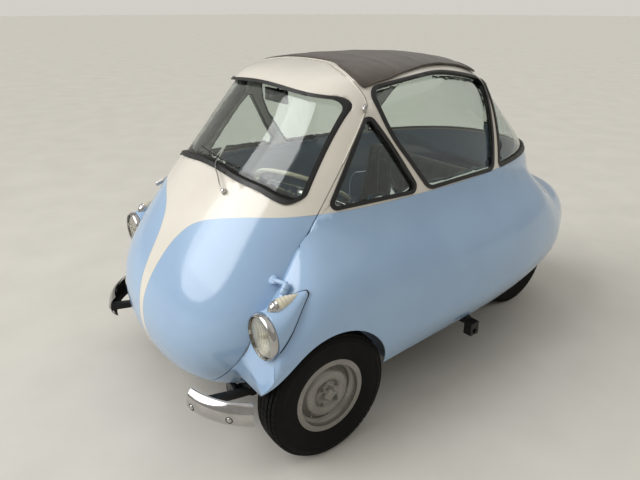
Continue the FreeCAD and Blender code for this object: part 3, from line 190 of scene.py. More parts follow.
def doorPaint():
    look = doorLook
    material, tree, shader = newMaterial("twoToneEnamel", {"Coat Weight": look["coat"],
                                                           "Coat Roughness": coatRough})
    place = addNode(tree, "TexCoord", out="Object")
    x, y, z = addNode(tree, "SeparateXYZ", {0: place}).node.outputs
    share = addNode(tree, "MapRange", {"Value": z, "From Min": look["low"], "From Max": look["high"]})
    curve = addNode(tree, "FloatCurve", {"Value": share})
    mapping = curve.node.mapping
    points = mapping.curves[0].points
    span = look["high"] - look["low"]
    spots = [((height - look["low"]) / span, half / 1000 / look["widest"]) for height, half in look["stripe"]]
    points[0].location = spots[0]
    points[-1].location = spots[-1]
    for spot in spots[1:-1]:
        points.new(*spot)
    mapping.update()
    half = addNode(tree, "Math", {0: curve, 1: look["widest"]}, operation="MULTIPLY")
    across = addNode(tree, "Math", {0: x}, operation="ABSOLUTE")
    inside = addNode(tree, "Math", {0: half, 1: across}, operation="SUBTRACT")
    above = addNode(tree, "Math", {0: z, 1: look["waist"]}, operation="SUBTRACT")
    margin = addNode(tree, "Math", {0: inside, 1: above}, operation="MAXIMUM")
    mask = addNode(tree, "MapRange", {"Value": margin, "From Min": -look["blend"], "From Max": look["blend"]})
    edge = addNode(tree, "MapRange", {
        "Value": addNode(tree, "Math", {0: margin}, operation="ABSOLUTE"), "From Min": look["line"] * 0.6,
        "From Max": look["line"] * 1.4, "To Min": look["lineShare"], "To Max": 0.0})
    patches, grain = patchesAndGrain(tree, place, look)
    blue, cream = (patchTone(tree, patches, finishes[name]["tones"]) for name in ("skyEnamel", "creamEnamel"))
    tone = addNode(tree, "Mix", {0: mask, 6: blue, 7: cream}, out=2, data_type="RGBA")
    tone = addNode(tree, "Mix", {0: edge, 6: tone, 7: linear(look["lineTone"])}, out=2, data_type="RGBA")
    sky = finishes["skyEnamel"]
    skinLook(tree, shader, tone, patches, sky["rough"], grain, sky["bump"])
    return material


materials["twoToneEnamel"] = doorPaint()


# Woven cloths: colours of the two threads, their pitch, patches and bump in mm, and sheen. The pitch is drawn
# about twice as coarse as the real one, so that the weave shows
cloths = {
    # Rubberised canvas of the folding roof: dull brown-black, paler where it turns away
    "roofCanvas": {"threads": ("#4b4138", "#5b5045"), "pitch": 1.1, "patch": 71.43, "bump": 0.12,
                   "sheen": 0.25},
    # Woven wool mixture of the bench: flat grey with a soft nap
    "seatTweed": {"threads": ("#45484c", "#55585b"), "pitch": 1.6, "patch": 71.43, "bump": 0.25,
                  "sheen": 0.35},
}
clothRough = 0.85
weaveGapShade = {"tone": "#0c0a09", "share": 0.45}     # painted shade in the gaps between threads
for name, look in cloths.items():
    material, tree, shader = newMaterial(name, {"Roughness": clothRough, "Sheen Weight": look["sheen"],
                                                "Sheen Roughness": 0.5})
    place = addNode(tree, "TexCoord", out="Object")
    warp, weft = (addNode(tree, "TexWave", {"Vector": place, "Scale": 1000 / look["pitch"] / math.pi,
                                            "Distortion": 0.4, "Detail": 1.0, "Detail Scale": 2.0},
                          out="Fac", bands_direction=axis) for axis in ("X", "Y"))
    weave = addNode(tree, "Math", {0: warp, 1: weft}, operation="MULTIPLY")
    patches = addNode(tree, "TexNoise", {"Vector": place, "Scale": 1000 / look["patch"], "Detail": 5.0},
                      out="Fac")
    # Where the weave dips between threads its colour is darkened as painted shade
    hollow = addNode(tree, "MapRange", {"Value": weave, "From Min": 0.0, "From Max": 0.5,
                                        "To Min": weaveGapShade["share"], "To Max": 0.0})
    tone = addNode(tree, "Mix", {0: hollow, 6: patchTone(tree, patches, look["threads"], 0.35),
                                 7: linear(weaveGapShade["tone"])}, out=2, data_type="RGBA")
    relief = addNode(tree, "Math", {0: weave, 1: patches}, operation="ADD")
    normal = addNode(tree, "Bump", {"Height": relief, "Distance": look["bump"] / 1000, "Strength": 1.0})
    fillSockets(tree, shader, {"Base Color": tone, "Normal": normal})
    materials[name] = material


# Glass: tint, roughness range, width of its waves and their height in mm
glasses = {
    # Drawn window glass: clear with a green breath, and waves that bend the view a little
    "windowGlass": {"tint": "#eaf2ee", "rough": (0.0, 0.012), "wave": 180, "bump": 0.02},
    # Pressed lamp glass: clear, a little soft from the mould
    "lampGlass": {"tint": "#f4f2ea", "rough": (0.02, 0.06), "wave": 12, "bump": 0.05},
    # Pressed red glass of the tail lamps: deep in colour, softly shining
    "redGlass": {"tint": "#b3201c", "rough": (0.05, 0.12), "wave": 10, "bump": 0.05},
}
for name, look in glasses.items():
    material, tree, shader = newMaterial(name, {"IOR": 1.5, "Transmission Weight": 1.0,
                                                "Base Color": linear(look["tint"])})
    place = addNode(tree, "TexCoord", out="Object")
    ripple = addNode(tree, "TexNoise", {"Vector": place, "Scale": 1000 / look["wave"], "Detail": 1.0},
                     out="Fac")
    fillSockets(tree, shader, {
        "Roughness": addNode(tree, "MapRange", {"Value": ripple, "From Min": 0.4, "From Max": 0.7,
                                                "To Min": look["rough"][0], "To Max": look["rough"][1]}),
        "Normal": addNode(tree, "Bump", {"Height": ripple, "Distance": look["bump"] / 1000, "Strength": 1.0})})
    materials[name] = material
print("materials made:", len(materials))


def linked(name, data):
    piece = bpy.data.objects.new(name, data)
    scene.collection.objects.link(piece)
    return piece


def finishPiece(name, shape, body, material, crease=35, stands=(), inner=None):
    mesh = bpy.data.meshes.new(name)
    shape.to_mesh(mesh)
    shape.free()
    mesh.shade_smooth()
    mesh.set_sharp_from_angle(angle=math.radians(crease))
    mesh.materials.clear()
    mesh.materials.append(materials[material])
    if inner:
        mesh.materials.append(materials[inner])
    piece = linked(name, mesh)
    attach(piece, body)
    if stands:
        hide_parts(*([stands] if isinstance(stands, str) else stands))
    return piece


def giveWall(piece, thickness):
    wall = piece.modifiers.new("wall", "SOLIDIFY")
    wall.thickness = thickness
    wall.offset = -1


def evaluatedMesh(piece):
    # The mesh that the piece's modifiers or curve settings give
    bpy.context.view_layer.update()
    return bpy.data.meshes.new_from_object(piece.evaluated_get(bpy.context.evaluated_depsgraph_get()))


def mergedShape(nodeName):
    shape = bmesh.new()
    shape.from_mesh(nodes[nodeName].data)
    bmesh.ops.remove_doubles(shape, verts=shape.verts, dist=0.00002)
    return shape


def surfaceTree(*nodeNames):
    # The surfaces of these sub-parts, to cast rays at
    shape = mergedShape(nodeNames[0])
    for name in nodeNames[1:]:
        shape.from_mesh(nodes[name].data)
    surfaces = BVHTree.FromBMesh(shape)
    shape.free()
    return surfaces


def addCone(shape, steps, foot, top, depth, place):
    bmesh.ops.create_cone(shape, cap_ends=True, segments=steps, radius1=foot, radius2=top, depth=depth,
                          matrix=place)


def roundEdges(shape, width, steps):
    bmesh.ops.bevel(shape, geom=shape.edges[:], offset=width, offset_type="OFFSET", segments=steps,
                    profile=0.5, affect="EDGES", material=-1, clamp_overlap=True)


def aimed(way, axis="X", up="Z"):
    return way.to_track_quat(axis, up).to_matrix().to_4x4()


def placedCopies(shape, places):
    # The same shape again at each place, all in one mesh
    mesh = bpy.data.meshes.new("spare")
    shape.to_mesh(mesh)
    shape.clear()
    for place in places:
        before = len(shape.verts)
        shape.from_mesh(mesh)
        shape.verts.ensure_lookup_table()
        bmesh.ops.transform(shape, matrix=place, verts=shape.verts[before:])
    bpy.data.meshes.remove(mesh)
    if any(place.determinant() < 0 for place in places):
        bmesh.ops.recalc_face_normals(shape, faces=shape.faces)
    return shape


def bothSides(shape, place=Matrix()):
    return placedCopies(shape, [place, mirrorSide @ place])


def turned(profile, steps=48):
    # A ring or disc from (radius, along) points, turned about the X axis
    shape = bmesh.new()
    loop = [shape.verts.new((along, 0, radius)) for radius, along in profile]
    edges = [shape.edges.new(pair) for pair in zip(loop, loop[1:])]
    bmesh.ops.spin(shape, geom=loop + edges, cent=(0, 0, 0), axis=(1, 0, 0), steps=steps, angle=2 * math.pi,
                   use_merge=True)
    bmesh.ops.remove_doubles(shape, verts=shape.verts, dist=0.00001)
    bmesh.ops.recalc_face_normals(shape, faces=shape.faces)
    return shape


# Faces that look back at the cabin's middle are its lining, which takes a darker paint as painted shade in the
# seams and inside the shell.
# The limit says how far they may turn away from it and still count, so that the seams are painted dark
shadedLiningLook = {"middle": Vector((0, -0.1, 0.72)), "flatten": 0.5, "limit": -0.15,
              "limits": {"door_shell": 0.25, "cab_upper": 0.25}}


def smoothCopy(name, nodeName, material, slotName, crease=35, inner=None):
    # A merged copy of the solid, so that its skin shades as one smooth panel
    shape = mergedShape(nodeName)
    if inner:
        limit = shadedLiningLook["limits"].get(nodeName, shadedLiningLook["limit"])
        for face in shape.faces:
            out = face.calc_center_median() - shadedLiningLook["middle"]
            out.y *= shadedLiningLook["flatten"]
            face.material_index = 1 if face.normal.dot(out.normalized()) < limit else 0
    return finishPiece(name, shape, nodes[nodeName]["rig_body"], material, crease, nodeName, inner)


# Painted panels, glass and rubbers keep the solids' shapes
# A row's sixth entry is the darker lining paint, painted shade in the seams and inside the shell; the dash
# shell takes the darker shell paint, as painted shade inside the cabin
panels = (
    ("lowerBody", "body_lower", "skyEnamel", "blue_paint", 28, "frameBlack"),
    ("cabFrame", "cab_upper", "creamEnamel", "cream_paint", 40, "innerPaint"),
    ("frontDoor", "door_shell", "twoToneEnamel", "blue_paint", 40, "innerPaint"),
    ("engineLid", "engine_lid", "skyEnamel", "blue_paint", 40),
    ("lampPods", "headlamp_pods", "skyEnamel", "blue_paint", 40),
    ("frontGlass", "windscreen_glass", "windowGlass", "glass", 40),
    ("sideGlass", "cab_glass", "windowGlass", "glass", 40),
    ("frontRubber", "windscreen_seal", "windowRubber", "black_rubber", 50),
    ("sideRubbers", "cab_window_seals", "windowRubber", "black_rubber", 50),
    ("bumperBars", "front_bumpers", "bumperChrome", "chrome", 40),
    ("rearBars", "rear_guards", "bumperChrome", "chrome", 30),
    ("lampRims", "headlamp_rims", "bumperChrome", "chrome", 40),
    ("frontWheelLeft", "front_rim_left", "wheelSilver", "silver_steel", 30),
    ("frontWheelRight", "front_rim_right", "wheelSilver", "silver_steel", 30),
    ("rearWheelPair", "rear_rims", "wheelSilver", "silver_steel", 30),
    ("doorLever", "door_handle", "bumperChrome", "chrome", 35),
    ("cabinMirror", "inside_mirror", "blackResin", "mirror", 35),
    ("gearStick", "gear_lever", "blackResin", "black_plastic", 35),
    ("footPedals", "pedals", "frameBlack", "black_steel", 35),
    ("steeringColumn", "steering_column", "frameBlack", "black_steel", 35),
    ("dashShell", "dashboard", "innerPaint", "blue_paint", 35),
    ("seatBox", "seat_base", "frameBlack", "black_steel", 30),
    ("shelfPanel", "parcel_shelf", "ribbedMat", "floor_paint", 30),
    ("floorPanel", "floor_pan", "ribbedMat", "floor_paint", 30),
    ("silencerCan", "silencer", "castAlloy", "cast_metal", 30),
)
for row in panels:
    smoothCopy(*row)

# Solids that need only their finish
bareParts = {
    "frameBlack": ("frame_rails", "frame_cross_tubes", "jack_brackets", "front_axle_beam", "track_rod",
                   "rear_axle_shaft", "rear_springs"),
    "castAlloy": ("knuckle_left", "knuckle_right", "chain_case", "engine_block"),
}
for material, nodeNames in bareParts.items():
    for nodeName in nodeNames:
        piece = nodes[nodeName]
        if not piece.material_slots:
            piece.data.materials.append(materials[material])
        for slot in piece.material_slots:
            slot.material = materials[material]
print("panels carried over:", len(panels))


# The bumper irons end behind the bars: what is left of them in front of the bars is taken off
ironLook = {"barsFrom": -1.0}
shape = mergedShape("bumper_irons")
loose = set(shape.verts)
while loose:
    island = {loose.pop()}
    edge = list(island)
    while edge:
        for link in edge.pop().link_edges:
            for vert in link.verts:
                if vert in loose:
                    loose.discard(vert)
                    island.add(vert)
                    edge.append(vert)
    if max(vert.co.y for vert in island) < ironLook["barsFrom"]:
        bmesh.ops.delete(shape, geom=list(island), context="VERTS")
finishPiece("bumperIrons", shape, "root", "frameBlack", 30, "bumper_irons")


# Wheels: body, names of tyre and hub, the tyre's sub-part, centres
wheelRows = (
    ("front_wheel_left", "frontTyreLeft", "hubLeft", "front_tyre_left", ((0.6, -0.7, 0.249),)),
    ("front_wheel_right", "frontTyreRight", "hubRight", "front_tyre_right", ((-0.6, -0.7, 0.249),)),
    ("rear_wheels", "rearTyrePair", "rearHubs", "rear_tyres", ((0.26, 0.8, 0.249), (-0.26, 0.8, 0.249))),
)
# Tyres: round side walls and staggered blocks
tyreLook = {"steps": 60, "lift": 0.0055, "sipe": 0.0017, "crown": 0.249, "treadFrom": 0.234,
            "staggerFrom": 0.239, "stagger": (0.0215, 0.0405),
            # half profile from the bead to the crown: radius, distance from the middle
            "profile": ((0.1285, 0.036), (0.1285, 0.0445), (0.1435, 0.0500), (0.1530, 0.0540),
                        (0.1680, 0.0580), (0.1840, 0.0602), (0.2000, 0.0608), (0.2130, 0.0600),
                        (0.2155, 0.0610), (0.2185, 0.0598), (0.2270, 0.0572), (0.2340, 0.0530),
                        (0.2405, 0.0425), (0.2413, 0.0385), (0.2425, 0.0240), (0.2430, 0.0200),
                        (0.2435, 0.0)),
            "inside": ((0.2260, 0.0340), (0.2000, 0.0480), (0.1600, 0.0420)),
            # rows of blocks, by distance from the middle
            "blocks": ((0.0425, 0.0530), (0.0240, 0.0385), (0.0, 0.0200))}


def tyreShape():
    shape = bmesh.new()
    half = tyreLook["profile"]
    outer = list(half) + [(r, -a) for r, a in reversed(half[:-1])]
    inner = [(r, -a) for r, a in reversed(tyreLook["inside"])] + list(tyreLook["inside"])
    loop = [shape.verts.new((a, 0, r)) for r, a in outer + inner]
    edges = [shape.edges.new((a, b)) for a, b in zip(loop, loop[1:] + loop[:1])]
    bmesh.ops.spin(shape, geom=loop + edges, cent=(0, 0, 0), axis=(1, 0, 0), steps=tyreLook["steps"],
                   angle=2 * math.pi, use_merge=True)
    bmesh.ops.recalc_face_normals(shape, faces=shape.faces)
    blocks = []
    for face in shape.faces:
        centre = face.calc_center_median()
        if math.hypot(centre.y, centre.z) > tyreLook["treadFrom"]:
            if any(low < abs(centre.x) < high for low, high in tyreLook["blocks"]):
                blocks.append(face)
    bmesh.ops.inset_individual(shape, faces=blocks, thickness=tyreLook["sipe"])
    raised = bmesh.ops.extrude_discrete_faces(shape, faces=blocks)["faces"]
    for face in raised:
        for vert in face.verts:
            radius = math.hypot(vert.co.y, vert.co.z)
            grown = min(radius + tyreLook["lift"], tyreLook["crown"])
            vert.co.y *= grown / radius
            vert.co.z *= grown / radius
    # The middle rows of blocks sit half a block round from the outer ones
    halfStep = math.pi / tyreLook["steps"]
    low, high = tyreLook["stagger"]
    for vert in shape.verts:
        if math.hypot(vert.co.y, vert.co.z) > tyreLook["staggerFrom"] and low < abs(vert.co.x) < high:
            vert.co = Matrix.Rotation(math.copysign(halfStep, vert.co.x), 3, "X") @ vert.co
    return shape


for body, tyreName, hubName, nodeName, centres in wheelRows:
    shape = placedCopies(tyreShape(), [Matrix.Translation(centre) for centre in centres])
    finishPiece(tyreName, shape, body, "shadedTyreRubber", 30, nodeName)
print("tyres made")


# Wheel centre: a four-lobed boss, four nuts between the lobes and a valve, each as foot, top and depth
hubLook = {"boss": (0.025, 0.020, 0.012), "bossOut": 0.044, "lobes": 4, "lobeSwing": 0.20, "edge": 0.0015,
           "nut": (0.0085, 0.00731, 0.010), "nutOut": 0.0432, "nutCircle": 0.045,
           "stud": (0.0045, 0.0038, 0.006), "studOut": 0.007,
           "valve": (0.0045, 0.0032, 0.030), "valveSpot": (0.030, 0, 0.094), "valveAngle": 2.2,
           "valveLean": 70}


def hubShape():
    onAxle = Matrix.Rotation(math.pi / 2, 4, "Y")
    shape = bmesh.new()
    addCone(shape, 64, *hubLook["boss"], Matrix())
    for vert in shape.verts:
        swing = 1 + hubLook["lobeSwing"] * math.cos(hubLook["lobes"] * math.atan2(vert.co.y, vert.co.x))
        vert.co.x *= swing
        vert.co.y *= swing
    roundEdges(shape, hubLook["edge"], 2)
    spot = Matrix.Translation((hubLook["bossOut"], 0, 0))
    bmesh.ops.transform(shape, matrix=spot @ onAxle, verts=shape.verts)
    for count in range(hubLook["lobes"]):
        turn = Matrix.Rotation(math.pi / 2 * count + math.pi / 4, 4, "X")
        spot = turn @ Matrix.Translation((hubLook["nutOut"], 0, hubLook["nutCircle"])) @ onAxle
        addCone(shape, 6, *hubLook["nut"], spot)
        addCone(shape, 16, *hubLook["stud"], spot @ Matrix.Translation((0, 0, hubLook["studOut"])))
    stem = Matrix.Rotation(hubLook["valveAngle"], 4, "X") @ Matrix.Translation(hubLook["valveSpot"])
    addCone(shape, 14, *hubLook["valve"], stem @ Matrix.Rotation(math.radians(hubLook["valveLean"]), 4, "Y"))
    return shape


for body, tyreName, hubName, nodeName, centres in wheelRows:
    places = [Matrix.Translation(centre) @ (mirrorSide if centre[0] < 0 else Matrix()) for centre in centres]
    finishPiece(hubName, placedCopies(hubShape(), places), body, "wheelSilver", 35)
print("hubs made")


# Headlamps: fluted lens, shallow bowl and bulb, with a screw in the rim. Profiles are (radius, forward)
lampLook = {"centre": Vector((0.586, -0.916, 0.545)), "radius": 0.0715, "depth": 0.0160, "bulge": 0.0135,
            "rings": 36, "flutes": 0.0085, "fluteLift": 0.0009, "plainEdge": 8, "wall": 0.0025,
            "bowl": {"foot": 0.0015, "hole": 0.008, "low": 0.010, "reach": 0.061, "depth": 0.0135,
                     "curve": 1.6},
            "bulb": ((0.0, 0.0215), (0.0045, 0.0208), (0.0078, 0.0182), (0.0090, 0.0145), (0.0086, 0.0105),
                     (0.0086, 0.0008)),
            "screw": (0.0042, 0.0034, 0.004), "screwSpot": (0.014, 0, 0.0822)}
facingFront = Matrix.Rotation(-math.pi / 2, 4, "Z")     # a turned shape's X points forward
lampTurn = Matrix.Translation(lampLook["centre"]) @ facingFront
radius = lampLook["radius"]
ball = (radius ** 2 + lampLook["bulge"] ** 2) / (2 * lampLook["bulge"])
rings = [radius * i / lampLook["rings"] for i in range(lampLook["rings"] + 1)]
crown = lampLook["depth"] + lampLook["bulge"]
lens = turned([(r, crown - ball + math.sqrt(ball ** 2 - r ** 2)) for r in rings], 128)
for vert in lens.verts:
    fade = max(0.0, 1 - (math.hypot(vert.co.y, vert.co.z) / radius) ** lampLook["plainEdge"])
    wave = (1 - math.cos(2 * math.pi * vert.co.y / lampLook["flutes"])) / 2
    vert.co.x -= lampLook["fluteLift"] * fade * wave
bmesh.ops.recalc_face_normals(lens, faces=lens.faces)
lensPiece = finishPiece("lampLenses", bothSides(lens, lampTurn), "root", "lampGlass", 60,
                        "headlamp_lenses")
giveWall(lensPiece, lampLook["wall"])
dish = lampLook["bowl"]
hollow = [(dish["hole"], dish["foot"])]
for i in range(11):
    t = i / 10
    hollow.append((dish["low"] + dish["reach"] * t, dish["foot"] + dish["depth"] * t ** dish["curve"]))
finishPiece("lampBowls", bothSides(turned(hollow, 64), lampTurn), "root", "mirrorSilver", 60)
bulb = turned(lampLook["bulb"], 24)
finishPiece("lampBulbs", bothSides(bulb, lampTurn), "root", "ivoryResin", 40)
screw = bmesh.new()
addCone(screw, 20, *lampLook["screw"], Matrix.Translation(lampLook["screwSpot"]))
finishPiece("lampScrews", bothSides(screw, lampTurn), "root", "bumperChrome", 30)
print("headlamps made")


# Indicators on the pods: a pressed chrome base and a ribbed teardrop lens
winkerLook = {"nose": Vector((0.5815, -0.905, 0.6245)), "tail": Vector((0.6070, -0.781, 0.6760)),
              "width": 0.0245, "reach": 0.86, "widest": 0.28, "noseCurve": 0.75, "tailCurve": 2.1,
              "split": 0.34, "ripple": 0.03, "baseRibs": 3, "lensRibs": 6, "baseStep": 0.0010,
              "thinnest": 0.0004}
run = winkerLook["tail"] - winkerLook["nose"]
length = run.length * winkerLook["reach"]
along = run.normalized()
sideways = along.cross(upright).normalized()
winkerTurn = (Matrix.Translation(winkerLook["nose"])
              @ Matrix((along, sideways, sideways.cross(along))).transposed().to_4x4())


def teardrop(low, high, grow, ribs, steps):
    profile = []
    widest = winkerLook["widest"]
    for i in range(steps + 1):
        t = low + (high - low) * i / steps
        if t < widest:
            girth = math.sin(math.pi * (t / widest) / 2) ** winkerLook["noseCurve"]
        else:
            girth = 1 - ((t - widest) / (1 - widest)) ** winkerLook["tailCurve"]
        ripple = 1 + winkerLook["ripple"] * math.cos(2 * math.pi * ribs * (t - low) / (high - low))
        profile.append((max(girth * winkerLook["width"] * ripple + grow, winkerLook["thinnest"]), t * length))
    return turned([(0.0, profile[0][1])] + profile + [(0.0, profile[-1][1])], 40)


base = teardrop(0.0, winkerLook["split"], winkerLook["baseStep"], winkerLook["baseRibs"], 24)
finishPiece("winkerBases", bothSides(base, winkerTurn), "root", "bumperChrome", 35,
            "indicator_lamps")
drop = teardrop(winkerLook["split"], 1.0, 0.0, winkerLook["lensRibs"], 60)
finishPiece("winkerLenses", bothSides(drop, winkerTurn), "root", "ivoryResin", 50)
print("indicators made")


def tubeShape(carrier, radius):
    # A curve object's mesh, given a round section. The curve object goes
    carrier.data.bevel_depth = radius
    carrier.data.bevel_resolution = 3
    carrier.data.use_fill_caps = True
    mesh = evaluatedMesh(carrier)
    bpy.data.objects.remove(carrier)
    shape = bmesh.new()
    shape.from_mesh(mesh)
    bmesh.ops.recalc_face_normals(shape, faces=shape.faces)
    return shape


def tubePiece(name, points, radius, body, material, closed=False):
    curve = bpy.data.curves.new(name, "CURVE")
    curve.dimensions = "3D"
    spline = curve.splines.new("NURBS")
    spline.points.add(len(points) - 1)
    for spot, point in zip(spline.points, points):
        spot.co = (*point, 1)
    spline.order_u = 3
    spline.use_endpoint_u = not closed
    spline.use_cyclic_u = closed
    spline.resolution_u = 4
    return finishPiece(name, tubeShape(linked(name, curve), radius), body, material, 60)


skinTree = surfaceTree("door_shell")
outerLook = {"middle": (0.1, 0.7), "flatten": 0.6, "step": 0.004}


def outerEdge(point):
    # True on the outer skin: no part of the door lies further out
    y, z = outerLook["middle"]
    out = Vector((point.x, (point.y + y) * outerLook["flatten"], point.z - z)).normalized()
    return skinTree.ray_cast(point + out * outerLook["step"], out)[0] is None


# Beads laid along sharp edges of the solids: the edges bent by more than the angle, where keep says so
beadLooks = (
    {"name": "podGaskets", "node": "headlamp_pods", "radius": 0.0026, "material": "windowRubber",
     "slot": "black_rubber", "angle": 30, "keep": lambda p: p.y > -0.9150 or p.z < 0.50},
    {"name": "doorEdgeBead", "node": "door_shell", "radius": 0.0024, "material": "creamEnamel",
     "slot": "cream_paint", "angle": 45, "keep": lambda p: p.z > 0.90 and p.y > -0.52 and outerEdge(p)},
)
for look in beadLooks:
    shape = mergedShape(look["node"])
    keep = set()
    for edge in shape.edges:
        if len(edge.link_faces) == 2 and math.degrees(edge.calc_face_angle(0)) > look["angle"]:
            if all(look["keep"](vert.co) for vert in edge.verts):
                keep.add(edge)
    bmesh.ops.delete(shape, geom=shape.faces[:], context="FACES_ONLY")
    bmesh.ops.delete(shape, geom=[edge for edge in shape.edges if edge not in keep], context="EDGES_FACES")
    bmesh.ops.delete(shape, geom=[vert for vert in shape.verts if not vert.link_edges], context="VERTS")
    mesh = bpy.data.meshes.new("run")
    shape.to_mesh(mesh)
    shape.free()
    piece = linked("run", mesh)
    bpy.ops.object.select_all(action="DESELECT")
    piece.select_set(True)
    bpy.context.view_layer.objects.active = piece
    bpy.ops.object.convert(target="CURVE")
    body = nodes[look["node"]]["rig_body"]
    finishPiece(look["name"], tubeShape(piece, look["radius"]), body, look["material"], 60)
print("beads laid")


# The folding roof: canvas stretched over its bows, with a rolled hem all round
roofLook = {"cell": 0.011, "bows": (-0.16, 0.02, 0.19, 0.33), "bowLift": 0.0018, "bowWidth": 0.016,
            "sag": 0.0014, "wrinkle": 0.0008, "wrinkleRun": (9, 30), "sink": 0.0004, "wall": 0.0026,
            "calmEdge": 0.045,
            "weld": 0.0015, "rimRounds": 3, "above": 1.33, "hemRadius": 0.0040, "hemIn": 0.992, "hemUp": 0.0012}
clothTree = surfaceTree("roof_cloth")


def clothTop(x, y):
    return clothTree.ray_cast(Vector((x, y, 2)), Vector((0, 0, -1)))[0]


def edgeBetween(inside, outside):
    # The last point on the cloth on the way from a place on it to a place off it
    near, far = Vector(inside), Vector(outside)
    for step in range(12):
        middle = (near + far) / 2
        if clothTop(*middle):
            near = middle
        else:
            far = middle
    return near


# A grid over the cloth: a vertex just off it comes in to its edge
clothLow, clothHigh = (Vector(corner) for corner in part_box("roof_cloth"))
columns = int((clothHigh.x - clothLow.x) / roofLook["cell"]) + 3
rows = int((clothHigh.y - clothLow.y) / roofLook["cell"]) + 3
spots = {}
cell = roofLook["cell"]
for i in range(columns):
    for j in range(rows):
        spots[i, j] = Vector(((i - (columns - 1) / 2) * cell, clothLow.y + (j - 0.5) * cell))
covered = {key for key, spot in spots.items() if clothTop(*spot)}
around = ((1, 0), (-1, 0), (0, 1), (0, -1), (1, 1), (1, -1), (-1, 1), (-1, -1))
shape = bmesh.new()
verts = {}
for (i, j), spot in spots.items():
    if (i, j) in covered:
        verts[i, j] = shape.verts.new((*spot, 0))
    else:
        inner = [(i + a, j + b) for a, b in around if (i + a, j + b) in covered]
        if inner:
            verts[i, j] = shape.verts.new((*edgeBetween(spots[inner[0]], spot), 0))
for i, j in spots:
    corners = [(i, j), (i + 1, j), (i + 1, j + 1), (i, j + 1)]
    if all(corner in verts for corner in corners) and any(corner in covered for corner in corners):
        shape.faces.new([verts[corner] for corner in corners])
bmesh.ops.delete(shape, geom=[vert for vert in shape.verts if not vert.link_faces], context="VERTS")
bmesh.ops.remove_doubles(shape, verts=shape.verts, dist=roofLook["weld"])
rim = [vert for vert in shape.verts if any(edge.is_boundary for edge in vert.link_edges)]
for turn in range(roofLook["rimRounds"]):
    moved = {}
    for vert in rim:
        pair = [edge.other_vert(vert).co for edge in vert.link_edges if edge.is_boundary]
        moved[vert] = (vert.co * 2 + pair[0] + pair[1]) / 4 if len(pair) == 2 else vert.co.copy()
    for vert, spot in moved.items():
        vert.co = spot
for vert in shape.verts:
    x, y = vert.co.x, vert.co.y
    top = clothTop(x, y) or clothTree.find_nearest(Vector((x, y, roofLook["above"])))[0]
    calm = min(1, min((vert.co.xy - other.co.xy).length for other in rim) / roofLook["calmEdge"])
    lift = sum(math.exp(-((y - bow) / roofLook["bowWidth"]) ** 2) for bow in roofLook["bows"])
    lift *= roofLook["bowLift"]
    acrossRun, alongRun = roofLook["wrinkleRun"]
    ripple = noise.noise(Vector((x * acrossRun, y * alongRun, 3.1))) * roofLook["wrinkle"]
    vert.co.z = top.z + (lift - roofLook["sag"] + ripple) * calm - roofLook["sink"]
bmesh.ops.recalc_face_normals(shape, faces=shape.faces)
if sum(face.normal.z for face in shape.faces) < 0:
    bmesh.ops.reverse_faces(shape, faces=shape.faces)
edgeRun = []
vert = max((v for v in shape.verts if any(edge.is_boundary for edge in v.link_edges)), key=lambda v: v.co.y)
before = None
while vert is not None and vert not in edgeRun:
    edgeRun.append(vert)
    ways = [edge.other_vert(vert) for edge in vert.link_edges if edge.is_boundary]
    following = next((way for way in ways if way is not before), None)
    before, vert = vert, following
edgeRun = [vert.co.copy() for vert in edgeRun]
area = sum(face.calc_area() for face in shape.faces)
print("roof canvas area", "%.4f" % area)
canvas = finishPiece("roofCanvas", shape, "root", "roofCanvas", 60, "roof_cloth")
giveWall(canvas, roofLook["wall"])
welt = [Vector((point.x * roofLook["hemIn"], point.y, point.z + roofLook["hemUp"])) for point in edgeRun[::2]]
tubePiece("roofHem", welt, roofLook["hemRadius"], "root", "roofCanvas", closed=True)
print("roof made")


# Seats: sprung cushion and back, swollen as cloth, then sewn in upright channels
seatLook = {"inset": 0.014, "round": 0.030, "cap": 0.012, "channels": 0.098, "depth": 0.0045, "seam": 0.006,
            "voxel": 0.008, "pressure": 4, "steps": 20, "margin": 0.001}
seatPads = (
    {"name": "seatCushion", "node": "seat_cushion", "top": Vector((0, 0, 1)), "taper": 0.0},
    {"name": "seatBack", "node": "seat_back", "top": Vector((0, -1, 0)), "taper": 0.085},
)


